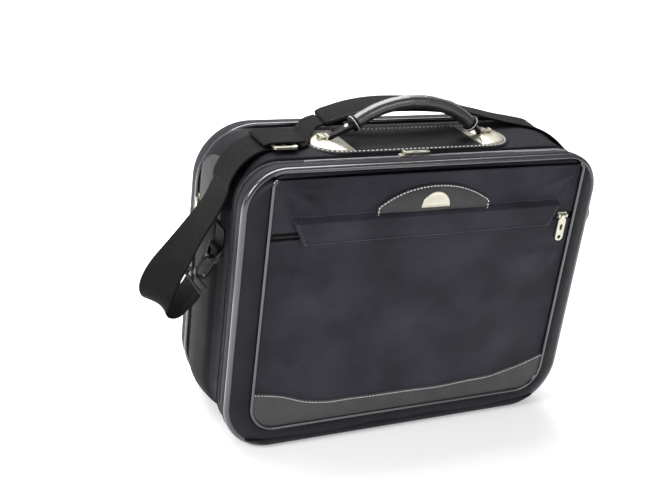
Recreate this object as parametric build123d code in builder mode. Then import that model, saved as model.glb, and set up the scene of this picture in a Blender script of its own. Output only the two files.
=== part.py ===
"""Soft-sided laptop case with a carry handle, two opening sections and a shoulder strap.

Frame: +X to the right seen from the front, +Y to the rear, +Z up, millimetres. The origin is on
the surface the case stands on, midway along its width, close under the handle.
"""
import os
from math import cos, radians, sin

from build123d import *

# ---- Driving dimensions of the case -------------------------------------------------------
case_width = 420.0
case_height = 318.0
top_corner_radius = 44.0
bottom_corner_radius = 56.0
wall = 7.0  # padded wall of the main body
sill_height = 12.0  # stiff base, full depth of the case
main_front_y = -48.0
main_depth = 90.0
zip_width = 8.0  # width of the zip channel between two sections
zip_recess = 2.0  # the zip lies this far below the outside surface
front_shell_depth = 20.0
border_depth = 10.0  # padded border that stands in front of the shell
border_width = 26.0
rear_shell_depth = 34.0
rear_rim_radius = 14.0
laptop_pad_thickness = 5.0
divider_thickness = 6.0
section_gap = 0.4  # between a section that opens and what it closes against
touch_gap = 0.3  # between soft pieces on different bodies

# ---- Front pocket -------------------------------------------------------------------------
shell_back_thickness = 4.0
shell_wall = 6.0
pocket_skin = 3.0
pocket_recess = 2.0  # pocket skin behind the border's crown
pocket_zip_z = 250.0
pocket_zip_width = 8.0
pocket_zip_depth = 1.5  # zip tape behind the pocket skin's face
pocket_zip_thickness = 1.5
outer_piping_radius = 3.0
inner_piping_radius = 1.7
piping_depth = 3.0  # of the inner piping, front to rear
flap_length = 318.0
flap_height = 27.0
flap_slant = 12.0
flap_thickness = 1.8
flap_lift = 4.6  # clear height under the flap, for the slider
flap_seam_z = 265.0
trim_thickness = 1.2
trim_end_height = 50.0
trim_mid_height = 26.0
badge_width = 135.0
badge_height = 31.0
badge_end_height = 9.0
badge_thickness = 2.0
badge_plate_width = 34.0
badge_plate_height = 17.0
badge_plate_thickness = 1.4

# ---- Handle -------------------------------------------------------------------------------
handle_y = -10.0
patch_length = 250.0
patch_width = 74.0
patch_thickness = 2.0
saddle_length = 42.0
saddle_width = 58.0
saddle_thickness = 1.2
handle_pin_radius = 1.6
handle_pin_lift = 3.6  # pin centre above the saddle plate
running_clearance = 0.05
eye_x = 91.0
eye_length = 7.6
lug_width = 2.0
lug_pitch = 8.0
grip_radius = 7.5
grip_x = 6.0  # the grip has slid to the right, so its left tab is the longer one
grip_half_span = 75.0
grip_left_foot = 12.0  # centre of the grip's left end above the pins
grip_right_foot = 7.0
grip_rise = 27.0
grip_core_radius = 3.0
tab_width = 14.0
tab_thickness = 5.0
wrap_length = 9.0
wrap_thickness = 0.9
wrap_clearance = 0.3
tab_gap = 0.4  # between a tab and the end of the grip
rivet_radius = 3.2
rivet_height = 1.6
rivet_slope = 25.0  # degrees its side leans in
rivet_inset = 5.0  # from the grip's end of the tab

# ---- Zip sliders --------------------------------------------------------------------------
slider_length = 12.0
slider_thickness = 1.8
slider_side_clearance = 0.4
lug_thickness = 1.0
pull_pin_radius = 0.8
pull_pin_lift = 2.0  # pin centre above the slider body
pull_eye_radius = 1.7
pull_thickness = 1.6
pull_length = 28.0
pocket_pull_width = 10.0
section_pull_width = 5.6
pocket_pull_hole_radius = 2.2
section_pull_hole_radius = 1.3
pull_slot_length = 7.0
pocket_slider_x = 169.0
front_slider_x = -25.0
rear_slider_z = 240.0

# ---- Shoulder strap -----------------------------------------------------------------------
strap_width = 46.0
strap_thickness = 2.4
strap_clearance = 3.6  # centre of the webbing from the case
ring_y = -27.0
ring_wire = 2.0
ring_radius = 15.0
ring_tab_width = 24.0
ring_tab_thickness = 2.0
ring_tab_height = 24.0
hook_length = 28.0
hook_width = 17.0
hook_wire = 2.8
hook_thickness = 4.5
hook_eye_height = 10.0
hook_eye_rim = 2.6
gate_length = 9.0
gate_thickness = 3.0
gate_gap = 0.4
gate_pin_radius = 0.6
hook_play = 2.0  # ring wire from the end of the hook's opening
adjuster_bar = 4.0
adjuster_length = 26.0
adjuster_thickness = 2.4
adjuster_x = -152.0
adjuster_y = -8.0
pad_width = 44.0
pad_thickness = 6.0
right_strap_width = 36.0

# ---- Worked out from the dimensions above ------------------------------------------------
main_rear_y = main_front_y + main_depth
front_zip_front_y = main_front_y - zip_width
shell_rear_y = front_zip_front_y - section_gap
shell_front_y = front_zip_front_y - front_shell_depth
front_y = shell_front_y - border_depth
rear_zip_rear_y = main_rear_y + zip_width
rear_shell_front_y = rear_zip_rear_y + section_gap
rear_y = rear_zip_rear_y + rear_shell_depth
side_x = case_width / 2
section_foot_z = sill_height + section_gap
pocket_front_y = front_y + pocket_recess
flap_rear_y = pocket_front_y - flap_lift
patch_top_z = case_height + patch_thickness
saddle_top_z = patch_top_z + saddle_thickness
handle_axis_z = saddle_top_z + handle_pin_lift
zip_face_y = pocket_front_y + pocket_zip_depth


def outline(y, inset=0.0):
    """Outline of the case at one depth: a rectangle with large lower and upper corners."""
    with BuildSketch(Plane.XZ.offset(-y)) as face:
        with Locations((0, case_height / 2)):
            Rectangle(case_width - 2 * inset, case_height - 2 * inset)
        fillet(face.vertices().group_by(Axis.Y)[-1], top_corner_radius - inset)
        fillet(face.vertices().group_by(Axis.Y)[0], bottom_corner_radius - inset)
    return face.sketch


def band(z_low, z_high, y_rear, y_front, side=Mode.INTERSECT):
    """Keeps (or cuts) everything between two heights."""
    with BuildSketch(Plane.XY.offset(z_low)) as area:
        with Locations((0, (y_rear + y_front) / 2)):
            Rectangle(2 * case_width, abs(y_rear - y_front))
    extrude(area.sketch, amount=z_high - z_low, mode=side)


def ring(y_rear, y_front, outer_inset, inner_inset):
    """A closed ring of the case's outline between two depths."""
    extrude(outline(y_rear, outer_inset), amount=y_rear - y_front)
    extrude(outline(y_rear, inner_inset), amount=y_rear - y_front, mode=Mode.SUBTRACT)


def finish(piece, name):
    """Labels one finished piece and writes its file."""
    piece.part.label = name
    export_step(piece.part, "parts/" + name + ".step")


os.makedirs("parts", exist_ok=True)
above_sill = (section_foot_z, 2 * case_height)

# ---- Main body ----------------------------------------------------------------------------
with BuildPart() as base_panel:
    extrude(outline(rear_y), amount=rear_y - front_y)
    band(-1, sill_height, rear_y, front_y)
    fillet(base_panel.edges().filter_by(Axis.X).group_by(Axis.Z)[0], 4)
finish(base_panel, "base_panel")

with BuildPart() as main_shell:
    ring(main_rear_y, main_front_y, 0, wall)
    band(sill_height, 2 * case_height, main_rear_y, main_front_y)
finish(main_shell, "main_shell")

with BuildPart() as divider:
    extrude(outline(main_rear_y, wall), amount=divider_thickness)
    band(sill_height, 2 * case_height, main_rear_y, main_rear_y - divider_thickness)
finish(divider, "divider")

base_board_thickness = 2.5
base_board_length = 340.0
with BuildPart() as base_board:
    with BuildSketch(Plane.XY.offset(sill_height)):
        with Locations((0, main_front_y + (main_depth - divider_thickness) / 2)):
            RectangleRounded(base_board_length, main_depth - divider_thickness - 8, 6)
    extrude(amount=base_board_thickness)
finish(base_board, "base_board")

top_board_length = 280.0
top_board_thickness = 2.0
with BuildPart() as top_board:
    with BuildSketch(Plane.XY.offset(case_height - wall - top_board_thickness)):
        with Locations((0, handle_y)):
            RectangleRounded(top_board_length, 60, 8)
    extrude(amount=top_board_thickness)
finish(top_board, "top_board")

frame_wire_radius = 1.5
frame_wire_inset = wall + frame_wire_radius + 0.2
for wire_name, wire_y in (("front_frame_wire", main_front_y + 8), ("rear_frame_wire", main_rear_y - 12)):
    with BuildPart() as frame_wire:
        ring(wire_y + frame_wire_radius, wire_y - frame_wire_radius, wall, wall + 2 * frame_wire_radius)
        band(sill_height + base_board_thickness, case_height - wall - top_board_thickness,
             wire_y + frame_wire_radius, wire_y - frame_wire_radius)
    finish(frame_wire, wire_name)

with BuildPart() as front_zip:
    ring(main_front_y, front_zip_front_y, zip_recess, wall)
    band(sill_height, 2 * case_height, main_front_y, front_zip_front_y)
finish(front_zip, "front_zip")

with BuildPart() as rear_zip:
    ring(rear_zip_rear_y, main_rear_y, zip_recess, wall)
    band(sill_height, 2 * case_height, rear_zip_rear_y, main_rear_y)
finish(rear_zip, "rear_zip")

# ---- Front section, which opens forwards about the foot of its front face -----------------
with BuildPart() as front_shell:
    extrude(outline(shell_rear_y), amount=shell_rear_y - shell_front_y)
    extrude(outline(shell_rear_y - shell_back_thickness, shell_wall), amount=front_shell_depth,
            mode=Mode.SUBTRACT)
    band(*above_sill, shell_rear_y, shell_front_y)
    with BuildSketch(Plane.XY.offset(section_foot_z)) as foot:
        with Locations((0, (shell_rear_y + shell_front_y) / 2)):
            Rectangle(2 * (side_x - 30), shell_rear_y - shell_front_y)
    extrude(amount=shell_wall)
finish(front_shell, "front_shell")

with BuildPart() as front_border:
    extrude(outline(shell_front_y, outer_piping_radius), amount=border_depth)
    fillet(front_border.edges().group_by(Axis.Y)[0], border_depth * 0.7)
    with BuildSketch(Plane.XZ.offset(-shell_front_y)) as pocket_area:
        with Locations((0, case_height)):
            Rectangle(case_width - 2 * border_width, 2 * (case_height - border_width))
        fillet(pocket_area.vertices().group_by(Axis.Y)[0], bottom_corner_radius - border_width)
    extrude(amount=border_depth, mode=Mode.SUBTRACT)
    band(*above_sill, shell_front_y, front_y)
finish(front_border, "front_border")


def pocket_face(y, inset, z_low, z_high):
    """The face inside the border, between two heights."""
    with BuildSketch(Plane.XZ.offset(-y)) as face:
        with Locations((0, case_height)):
            Rectangle(case_width - 2 * (border_width + inset), 2 * (case_height - border_width - inset))
        fillet(face.vertices().group_by(Axis.Y)[0], bottom_corner_radius - border_width - inset)
        with Locations((0, (z_low + z_high) / 2)):
            Rectangle(case_width, z_high - z_low, mode=Mode.INTERSECT)
    return face.sketch


pocket_top_z = case_height - outer_piping_radius - 5
pocket_back_y = pocket_front_y + pocket_skin
zip_back_y = zip_face_y + pocket_zip_thickness
zip_low_z = pocket_zip_z - pocket_zip_width / 2
zip_high_z = pocket_zip_z + pocket_zip_width / 2
piping_room = 2 * inner_piping_radius
with BuildPart() as pocket_panel:
    extrude(pocket_face(pocket_back_y, piping_room, 0, zip_low_z), amount=pocket_skin)
finish(pocket_panel, "pocket_panel")

with BuildPart() as upper_panel:
    extrude(pocket_face(pocket_back_y, piping_room, zip_high_z, pocket_top_z), amount=pocket_skin)
finish(upper_panel, "upper_panel")

with BuildPart() as upper_fill:
    fill_top_z = case_height - outer_piping_radius
    extrude(pocket_face(shell_front_y, 0, pocket_top_z, fill_top_z), amount=border_depth - pocket_recess)
    extrude(outline(shell_front_y, outer_piping_radius), amount=border_depth, mode=Mode.INTERSECT)
finish(upper_fill, "upper_border")

with BuildPart() as pocket_zip:
    extrude(pocket_face(zip_back_y, piping_room, zip_low_z, zip_high_z), amount=pocket_zip_thickness)
finish(pocket_zip, "pocket_zip")

with BuildPart() as outer_piping:
    ring(shell_front_y + outer_piping_radius, shell_front_y - outer_piping_radius,
         -outer_piping_radius * 0.4, outer_piping_radius)
    extrude(outline(shell_front_y + outer_piping_radius), amount=outer_piping_radius, mode=Mode.SUBTRACT)
    band(*above_sill, shell_front_y + outer_piping_radius, shell_front_y - outer_piping_radius)
finish(outer_piping, "outer_piping")

with BuildPart() as inner_piping:
    piping_rear_y = pocket_front_y + piping_depth / 2
    extrude(pocket_face(piping_rear_y, 0, 0, pocket_top_z), amount=piping_depth)
    extrude(pocket_face(piping_rear_y, piping_room, 0, 2 * case_height), amount=piping_depth, mode=Mode.SUBTRACT)
finish(inner_piping, "inner_piping")

trim_low_z = border_width + piping_room
with BuildPart() as kick_trim:
    half = side_x - border_width - piping_room
    with BuildSketch(Plane.XZ.offset(-pocket_front_y)) as trim_face:
        with BuildLine():
            Spline((-half, trim_low_z + trim_end_height - 10), (-half * 0.55, trim_low_z + trim_mid_height),
                   (0, trim_low_z + trim_mid_height + 1), (half * 0.55, trim_low_z + trim_mid_height),
                   (half, trim_low_z + trim_end_height - 10))
            Polyline((half, trim_low_z + trim_end_height - 10), (half, trim_low_z), (-half, trim_low_z),
                     (-half, trim_low_z + trim_end_height - 10))
        make_face()
    extrude(amount=trim_thickness)
    extrude(pocket_face(pocket_front_y, piping_room, 0, case_height), amount=trim_thickness,
            mode=Mode.INTERSECT)
finish(kick_trim, "kick_trim")

badge_low_z = flap_seam_z + 1.5
with BuildPart() as badge_patch:
    with BuildSketch(Plane.XZ.offset(-pocket_front_y)):
        with BuildLine():
            Polyline((-badge_width / 2, badge_low_z + badge_end_height), (-badge_width / 2, badge_low_z),
                     (badge_width / 2, badge_low_z), (badge_width / 2, badge_low_z + badge_end_height))
            ThreePointArc((badge_width / 2, badge_low_z + badge_end_height), (0, badge_low_z + badge_height),
                          (-badge_width / 2, badge_low_z + badge_end_height))
        make_face()
    extrude(amount=badge_thickness)
finish(badge_patch, "badge_patch")

with BuildPart() as badge_plate:
    with BuildSketch(Plane.XZ.offset(-pocket_front_y + badge_thickness)):
        with BuildLine():
            plate_z = badge_low_z + 6
            Line((-badge_plate_width / 2, plate_z), (badge_plate_width / 2, plate_z))
            ThreePointArc((badge_plate_width / 2, plate_z), (0, plate_z + badge_plate_height),
                          (-badge_plate_width / 2, plate_z))
        make_face()
    extrude(amount=badge_plate_thickness)
finish(badge_plate, "badge_plate")

# The storm flap hangs from its top seam, and stands off the zip by the slider's height.
with BuildPart() as flap_seam:
    with BuildSketch(Plane.XZ.offset(-pocket_front_y)):
        with Locations((0, flap_seam_z)):
            Rectangle(flap_length, 2)
    extrude(amount=flap_lift)
finish(flap_seam, "flap_seam")

with BuildPart() as storm_flap:
    with BuildSketch(Plane.XZ.offset(-flap_rear_y)):
        with BuildLine():
            flap_foot_z = flap_seam_z - flap_height
            flap_half = flap_length / 2
            Polyline((-flap_half, flap_seam_z), (flap_slant - flap_half, flap_foot_z),
                     (flap_half - flap_slant, flap_foot_z), (flap_half, flap_seam_z), close=True)
        make_face()
    extrude(amount=flap_thickness)
finish(storm_flap, "storm_flap")

organiser_thickness = 2.0
with BuildPart() as organiser_panel:
    extrude(pocket_face(shell_rear_y - shell_back_thickness, 0, 40, 200), amount=organiser_thickness)
    extrude(outline(shell_rear_y, shell_wall), amount=front_shell_depth, mode=Mode.INTERSECT)
finish(organiser_panel, "organiser_panel")

# ---- Rear section, the padded laptop compartment ------------------------------------------
with BuildPart() as rear_shell:
    extrude(outline(rear_y), amount=rear_y - rear_shell_front_y)
    fillet(rear_shell.edges().group_by(Axis.Y)[-1], rear_rim_radius)
    extrude(outline(rear_y - shell_wall, shell_wall), amount=rear_y - rear_shell_front_y, mode=Mode.SUBTRACT)
    band(*above_sill, rear_y, rear_shell_front_y)
finish(rear_shell, "rear_shell")

rear_piping_radius = 2.2
with BuildPart() as rear_piping:
    piping_y = rear_shell_front_y + rear_piping_radius
    ring(piping_y + rear_piping_radius, piping_y - rear_piping_radius, -rear_piping_radius * 0.6, 0)
    band(*above_sill, piping_y + rear_piping_radius, piping_y - rear_piping_radius)
finish(rear_piping, "rear_piping")

with BuildPart() as laptop_pad:
    extrude(outline(rear_y - shell_wall, shell_wall + 6), amount=laptop_pad_thickness)
    band(section_foot_z + 4, 2 * case_height, rear_y - shell_wall, rear_y - shell_wall - laptop_pad_thickness)
finish(laptop_pad, "laptop_pad")

strap_y = rear_y - shell_wall - laptop_pad_thickness
with BuildPart() as laptop_strap:
    with BuildSketch(Plane.XZ.offset(-strap_y)):
        with Locations((0, 220)):
            RectangleRounded(38, 120, 6)
    extrude(amount=1.6)
finish(laptop_strap, "laptop_strap")

# ---- Handle -------------------------------------------------------------------------------
with BuildPart() as handle_patch:
    with BuildSketch(Plane.XY.offset(case_height)):
        with Locations((0, handle_y)):
            SlotOverall(patch_length, patch_width)
    extrude(amount=patch_thickness)
finish(handle_patch, "handle_patch")

lug_outer_x = eye_x + eye_length / 2 + 1.0 + lug_width / 2
for side, side_name in ((-1, "left"), (1, "right")):
    with BuildPart() as saddle:
        with BuildSketch(Plane.XY.offset(patch_top_z)) as saddle_face:
            with Locations((0, handle_y)):
                SlotOverall(patch_length - 12, patch_width - 12)
            with Locations((side * (patch_length / 2 - 6 - saddle_length / 2), handle_y)):
                Rectangle(saddle_length, patch_width, mode=Mode.INTERSECT)
        extrude(amount=saddle_thickness)
        with BuildSketch(Plane.XY.offset(saddle_top_z)):
            with Locations((side * lug_outer_x, handle_y), (side * (lug_outer_x + lug_pitch), handle_y)):
                Rectangle(lug_width, 2 * handle_pin_lift)
        extrude(amount=handle_pin_lift + 3.0)
        with BuildSketch(Plane.YZ.offset(side * lug_outer_x)):
            with Locations((handle_y, handle_axis_z)):
                Circle(handle_pin_radius)
        extrude(amount=lug_pitch + lug_width, both=True, mode=Mode.SUBTRACT)
    finish(saddle, side_name + "_saddle")

pin_start = eye_x - eye_length / 2
pin_end = lug_outer_x + lug_pitch + lug_width / 2
with BuildPart() as handle_pins:
    for side in (-1, 1):
        with BuildSketch(Plane.YZ.offset(side * (pin_start + pin_end) / 2)):
            with Locations((handle_y, handle_axis_z)):
                Circle(handle_pin_radius)
        extrude(amount=(pin_end - pin_start) / 2, both=True)
finish(handle_pins, "handle_pins")

grip_left = (grip_x - grip_half_span, handle_axis_z + grip_left_foot)
grip_right = (grip_x + grip_half_span, handle_axis_z + grip_right_foot)
grip_top_z = handle_axis_z + (grip_left_foot + grip_right_foot) / 2 + grip_rise
with BuildLine(Plane.XZ.offset(-handle_y)) as grip_line:
    ThreePointArc(grip_left, (grip_x, grip_top_z), grip_right)
grip_arch = grip_line.line
with BuildPart() as handle_core:
    with BuildSketch(Plane(origin=grip_arch @ 0, z_dir=grip_arch % 0)) as core_section:
        Circle(grip_core_radius)
    sweep(core_section.sketch, path=grip_arch)
finish(handle_core, "handle_core")

with BuildPart() as handle_grip:
    with BuildSketch(Plane(origin=grip_arch @ 0, z_dir=grip_arch % 0)) as grip_section:
        Circle(grip_radius)
        Circle(grip_core_radius, mode=Mode.SUBTRACT)
    sweep(grip_section.sketch, path=grip_arch)
finish(handle_grip, "handle_grip")

with BuildPart() as grip_wraps:
    for end in (0, 1):
        inward = (grip_arch % end) * (1 if end == 0 else -1)
        with BuildSketch(Plane(origin=grip_arch @ end, z_dir=inward)):
            Circle(grip_radius + wrap_clearance + wrap_thickness)
            Circle(grip_radius + wrap_clearance, mode=Mode.SUBTRACT)
        extrude(amount=wrap_length)
finish(grip_wraps, "grip_wraps")


def tab_run(side):
    """From the eye of one handle tab to the end of the grip."""
    end = grip_left if side < 0 else grip_right
    return Vector(end[0] - side * eye_x, 0, end[1] - handle_axis_z)


def tab_plane(side, lift=0.0):
    """The plane of one handle tab: local X from the eye to the grip, local Z up."""
    along = tab_run(side).normalized()
    normal = Vector(0, 1, 0).cross(along)
    if normal.Z < 0:
        normal = normal * -1
    eye = Vector(side * eye_x, handle_y, handle_axis_z)
    return Plane(origin=eye + normal * lift, x_dir=along, z_dir=normal)


eye_outer = tab_thickness / 2 + 0.6
with BuildPart() as handle_tabs:
    for side in (-1, 1):
        tab_length = tab_run(side).length
        tab_end = tab_length - tab_gap
        with BuildSketch(tab_plane(side)):
            with BuildLine():
                Polyline((0, -eye_outer), (tab_end, -tab_width / 2), (tab_end, tab_width / 2), (0, eye_outer),
                         close=True)
            make_face()
        extrude(amount=tab_thickness / 2, both=True)
        with BuildSketch(Plane.YZ.offset(side * eye_x)):
            with Locations((handle_y, handle_axis_z)):
                Circle(eye_outer)
        extrude(amount=eye_length / 2, both=True)
        with BuildSketch(Plane.YZ.offset(side * eye_x)):
            with Locations((handle_y, handle_axis_z)):
                Circle(handle_pin_radius + running_clearance)
        extrude(amount=tab_length + eye_length, both=True, mode=Mode.SUBTRACT)
finish(handle_tabs, "handle_tabs")

with BuildPart() as handle_rivets:
    for side in (-1, 1):
        with BuildSketch(tab_plane(side, tab_thickness / 2)):
            with Locations((tab_run(side).length - rivet_inset, 0)):
                Circle(rivet_radius)
        extrude(amount=rivet_height, taper=rivet_slope)
finish(handle_rivets, "handle_rivets")


# ---- Zip sliders and their pulls ----------------------------------------------------------
def slider(place, width):
    """A slider on its track: local X along the zip, local Z out of it."""
    with BuildPart() as body:
        with BuildSketch(place.offset(touch_gap)):
            RectangleRounded(slider_length, width, 1.5)
        extrude(amount=slider_thickness)
        lug_place = place.offset(touch_gap + slider_thickness)
        with BuildSketch(lug_place):
            with Locations((0, (width - lug_thickness) / 2), (0, -(width - lug_thickness) / 2)):
                Rectangle(2 * pull_eye_radius, lug_thickness)
        extrude(amount=pull_pin_lift + pull_pin_radius)
        pin_plane = Plane(origin=lug_place.origin + lug_place.z_dir * pull_pin_lift, z_dir=lug_place.y_dir)
        with BuildSketch(pin_plane):
            Circle(pull_pin_radius)
        extrude(amount=width / 2, both=True)
    return body


def pull(place, width, neck, hole_radius):
    """A pull lying along its zip's local X, on the slider's pin."""
    lift = touch_gap + slider_thickness + pull_pin_lift
    with BuildPart() as body:
        centre = place.offset(lift)
        with BuildSketch(centre):
            with Locations((pull_length / 2 + pull_eye_radius, 0)):
                RectangleRounded(pull_length, width, width * 0.45)
                with Locations((pull_length / 2 - 2 * hole_radius, 0)):
                    Circle(hole_radius, mode=Mode.SUBTRACT)
                with Locations((-pull_length * 0.08, 0)):
                    SlotOverall(pull_slot_length, 1.4 * hole_radius, mode=Mode.SUBTRACT)
            with Locations((3, 0)):
                Rectangle(6, neck)
        extrude(amount=pull_thickness / 2, both=True)
        with BuildSketch(Plane(origin=centre.origin, z_dir=centre.y_dir)):
            Circle(pull_eye_radius)
        extrude(amount=neck / 2, both=True)
        with BuildSketch(Plane(origin=centre.origin, z_dir=centre.y_dir)):
            Circle(pull_pin_radius + running_clearance)
        extrude(amount=width, both=True, mode=Mode.SUBTRACT)
    return body


pocket_place = Plane(origin=(pocket_slider_x, zip_face_y, pocket_zip_z), x_dir=(1, 0, 0), z_dir=(0, -1, 0))
pocket_pull_place = Plane(origin=pocket_place.origin, x_dir=(0, 0, -1), z_dir=(0, -1, 0))
pocket_slider_width = pocket_zip_width - 2 * slider_side_clearance
pocket_neck = 5.0
with BuildPart() as pocket_slider:
    with BuildSketch(pocket_place.offset(touch_gap)):
        RectangleRounded(slider_length, pocket_slider_width, 1.5)
    extrude(amount=slider_thickness)
    lug_place = pocket_place.offset(touch_gap + slider_thickness)
    with BuildSketch(lug_place):
        with Locations((slider_length / 2 - 1, 0), (1 - slider_length / 2, 0)):
            Rectangle(2 * lug_thickness, 2 * pull_eye_radius)
    extrude(amount=pull_pin_lift + pull_pin_radius)
    with BuildSketch(Plane.YZ.offset(pocket_slider_x)):
        with Locations((lug_place.origin.Y - pull_pin_lift, pocket_zip_z)):
            Circle(pull_pin_radius)
    extrude(amount=slider_length / 2 - 1, both=True)
finish(pocket_slider, "pocket_slider")
pocket_pull = pull(pocket_pull_place, pocket_pull_width, pocket_neck, pocket_pull_hole_radius)
finish(pocket_pull, "pocket_pull")

section_slider_width = zip_width - 2 * slider_side_clearance
front_zip_y = (main_front_y + front_zip_front_y) / 2
rear_zip_y = (main_rear_y + rear_zip_rear_y) / 2
front_track = (front_slider_x, front_zip_y, case_height - zip_recess)
rear_track = (zip_recess - side_x, rear_zip_y, rear_slider_z)
front_place = Plane(origin=front_track, x_dir=(1, 0, 0), z_dir=(0, 0, 1))
rear_place = Plane(origin=rear_track, x_dir=(0, 0, -1), z_dir=(-1, 0, 0))
section_neck = section_slider_width - 2 * lug_thickness - 0.6
for place, section in ((front_place, "front"), (rear_place, "rear")):
    finish(slider(place, section_slider_width), section + "_slider")
    finish(pull(place, section_pull_width, section_neck, section_pull_hole_radius), section + "_pull")


# ---- Rings, hooks and their gates ---------------------------------------------------------
def ring_tab(side, bar, foot_z, arm_z, tab_name):
    """Webbing sewn to the side of the case, with a loop that holds the ring's bar."""
    tube = ring_wire + running_clearance + ring_tab_thickness
    near = side * side_x
    far = side * (side_x + ring_tab_thickness)
    arm_half = ring_tab_thickness
    with BuildPart() as tab:
        with BuildSketch(Plane.XZ.offset(-ring_y)):
            with BuildLine():
                Polyline((near, foot_z), (far, foot_z), (far, arm_z), (near, arm_z), close=True)
            make_face()
            with BuildLine():
                Polyline((near, arm_z - arm_half), (bar.X, bar.Z - arm_half), (bar.X, bar.Z + arm_half),
                         (near, arm_z + arm_half), close=True)
            make_face()
            with Locations((bar.X, bar.Z)):
                Circle(tube)
                Circle(ring_wire + running_clearance, mode=Mode.SUBTRACT)
            with Locations((side * side_x / 2, case_height / 2)):
                Rectangle(side_x, case_height, mode=Mode.SUBTRACT)
        extrude(amount=ring_tab_width / 2, both=True)
    finish(tab, tab_name)


def d_ring(bar, along, ring_name):
    """A D-ring: a straight bar in the tab and a half round of wire."""
    with BuildPart() as wire:
        with BuildSketch(Plane.XZ.offset(-ring_y)):
            with Locations((bar.X, bar.Z)):
                Circle(ring_wire)
        extrude(amount=ring_radius + ring_wire, both=True)
        with BuildSketch(Plane(origin=bar, x_dir=along, z_dir=Vector(0, 1, 0).cross(along))):
            Circle(ring_radius + ring_wire)
            Circle(ring_radius - ring_wire, mode=Mode.SUBTRACT)
            with Locations((ring_radius + ring_wire, 0)):
                Rectangle(2 * (ring_radius + ring_wire), 2 * (ring_radius + ring_wire), mode=Mode.INTERSECT)
        extrude(amount=ring_wire * 0.9, both=True)
    finish(wire, ring_name)


def hook(bar, ring_along, along, outward, hook_name):
    """A snap hook through a D-ring, with an eye for the webbing. Returns where the webbing starts."""
    apex = bar + ring_along * ring_radius
    centre = apex + along * (hook_length / 2 - hook_wire - hook_play - ring_wire)
    face = Plane(origin=centre, x_dir=along, z_dir=along.cross(outward))
    eye_centre_u = hook_length / 2 + hook_eye_height / 2 - 0.5
    with BuildPart() as body:
        with BuildSketch(face):
            SlotOverall(hook_length, hook_width)
            SlotOverall(hook_length - 2 * hook_wire, hook_width - 2 * hook_wire, mode=Mode.SUBTRACT)
            with Locations((0, hook_width / 2 - hook_wire / 2)):
                Rectangle(gate_length + 2 * gate_gap, 2 * hook_wire, mode=Mode.SUBTRACT)
        extrude(amount=hook_thickness / 2, both=True)
        with BuildSketch(Plane(origin=centre + along * eye_centre_u, x_dir=along, z_dir=outward)):
            Rectangle(hook_eye_height, strap_width + 2 * hook_eye_rim + 1)
            Rectangle(hook_eye_height - 2 * hook_eye_rim, strap_width + 1, mode=Mode.SUBTRACT)
        extrude(amount=hook_eye_rim / 2, both=True)
        gate_pin = centre + along * (gate_length / 2 - 1) + outward * (hook_width / 2 - hook_wire / 2)
        with BuildSketch(Plane(origin=gate_pin, z_dir=Vector(0, 1, 0))):
            Circle(gate_pin_radius)
        extrude(amount=hook_thickness / 2, both=True)
        with BuildSketch(Plane(origin=gate_pin, x_dir=along, z_dir=Vector(0, 1, 0))):
            with Locations((1.5, 0)):
                Rectangle(4.4, 1.6)
        extrude(amount=hook_thickness / 2, both=True)
        with BuildSketch(Plane(origin=gate_pin, x_dir=along, z_dir=Vector(0, 1, 0))):
            Rectangle(4.6, 3.4)
        extrude(amount=gate_thickness / 2 + gate_gap / 2, both=True, mode=Mode.SUBTRACT)
        with BuildSketch(Plane(origin=gate_pin, z_dir=Vector(0, 1, 0))):
            Circle(gate_pin_radius)
        extrude(amount=hook_thickness / 2, both=True)
    finish(body, hook_name + "_hook")
    with BuildPart() as gate:
        with BuildSketch(Plane(origin=centre + outward * (hook_width / 2 - hook_wire / 2), x_dir=along,
                               z_dir=along.cross(outward))):
            SlotOverall(gate_length, 2.4)
        extrude(amount=gate_thickness / 2, both=True)
        with BuildSketch(Plane(origin=gate_pin, z_dir=Vector(0, 1, 0))):
            Circle(gate_pin_radius + running_clearance)
        extrude(amount=hook_thickness, both=True, mode=Mode.SUBTRACT)
    finish(gate, hook_name + "_gate")
    print(hook_name, "bar", bar, "gate pin", gate_pin, "webbing from", centre + along * eye_centre_u)
    return centre + along * eye_centre_u


left_bar = Vector(-side_x - ring_wire - ring_tab_thickness - 0.4, ring_y, 216)
left_ring_along = Vector(-0.45, 0, -0.89).normalized()
left_hook_along = Vector(-0.5, 0, -0.87).normalized()
left_outward = Vector(-0.87, 0, 0.5).normalized()
right_bar = Vector(side_x + 30, ring_y, 222)
right_ring_along = Vector(0.4, 0, 0.92).normalized()
right_hook_along = Vector(-0.62, 0, 0.78).normalized()
right_outward = Vector(0.78, 0, 0.62).normalized()
ring_tab(-1, left_bar, left_bar.Z + ring_tab_height, left_bar.Z + 2, "left_ring_tab")
ring_tab(1, right_bar, right_bar.Z - ring_tab_height - 12, right_bar.Z - 14, "right_ring_tab")
d_ring(left_bar, left_ring_along, "left_ring")
d_ring(right_bar, right_ring_along, "right_ring")
left_start = hook(left_bar, left_ring_along, left_hook_along, left_outward, "left")
right_start = hook(right_bar, right_ring_along, right_hook_along, right_outward, "right")


# ---- Shoulder strap -----------------------------------------------------------------------
def ribbon(stations, thickness, ribbon_name, facing=None):
    """Flat webbing through chosen stations, each a centre, the direction of its width and a width.

    Every section is square to the run of the webbing, or faces one given direction.
    """
    centres = [Vector(*place) for place, _, _ in stations]
    with BuildPart() as strip:
        for index, (_, across, width) in enumerate(stations):
            before = centres[max(index - 1, 0)]
            after = centres[min(index + 1, len(centres) - 1)]
            heading = (facing or after - before).normalized()
            side_dir = Vector(*across)
            side_dir = (side_dir - heading * side_dir.dot(heading)).normalized()
            with BuildSketch(Plane(origin=centres[index], x_dir=side_dir, z_dir=heading)):
                Rectangle(width, thickness)
        loft(ruled=True)
    finish(strip, ribbon_name)
    return sum((b - a).length for a, b in zip(centres, centres[1:]))


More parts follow.
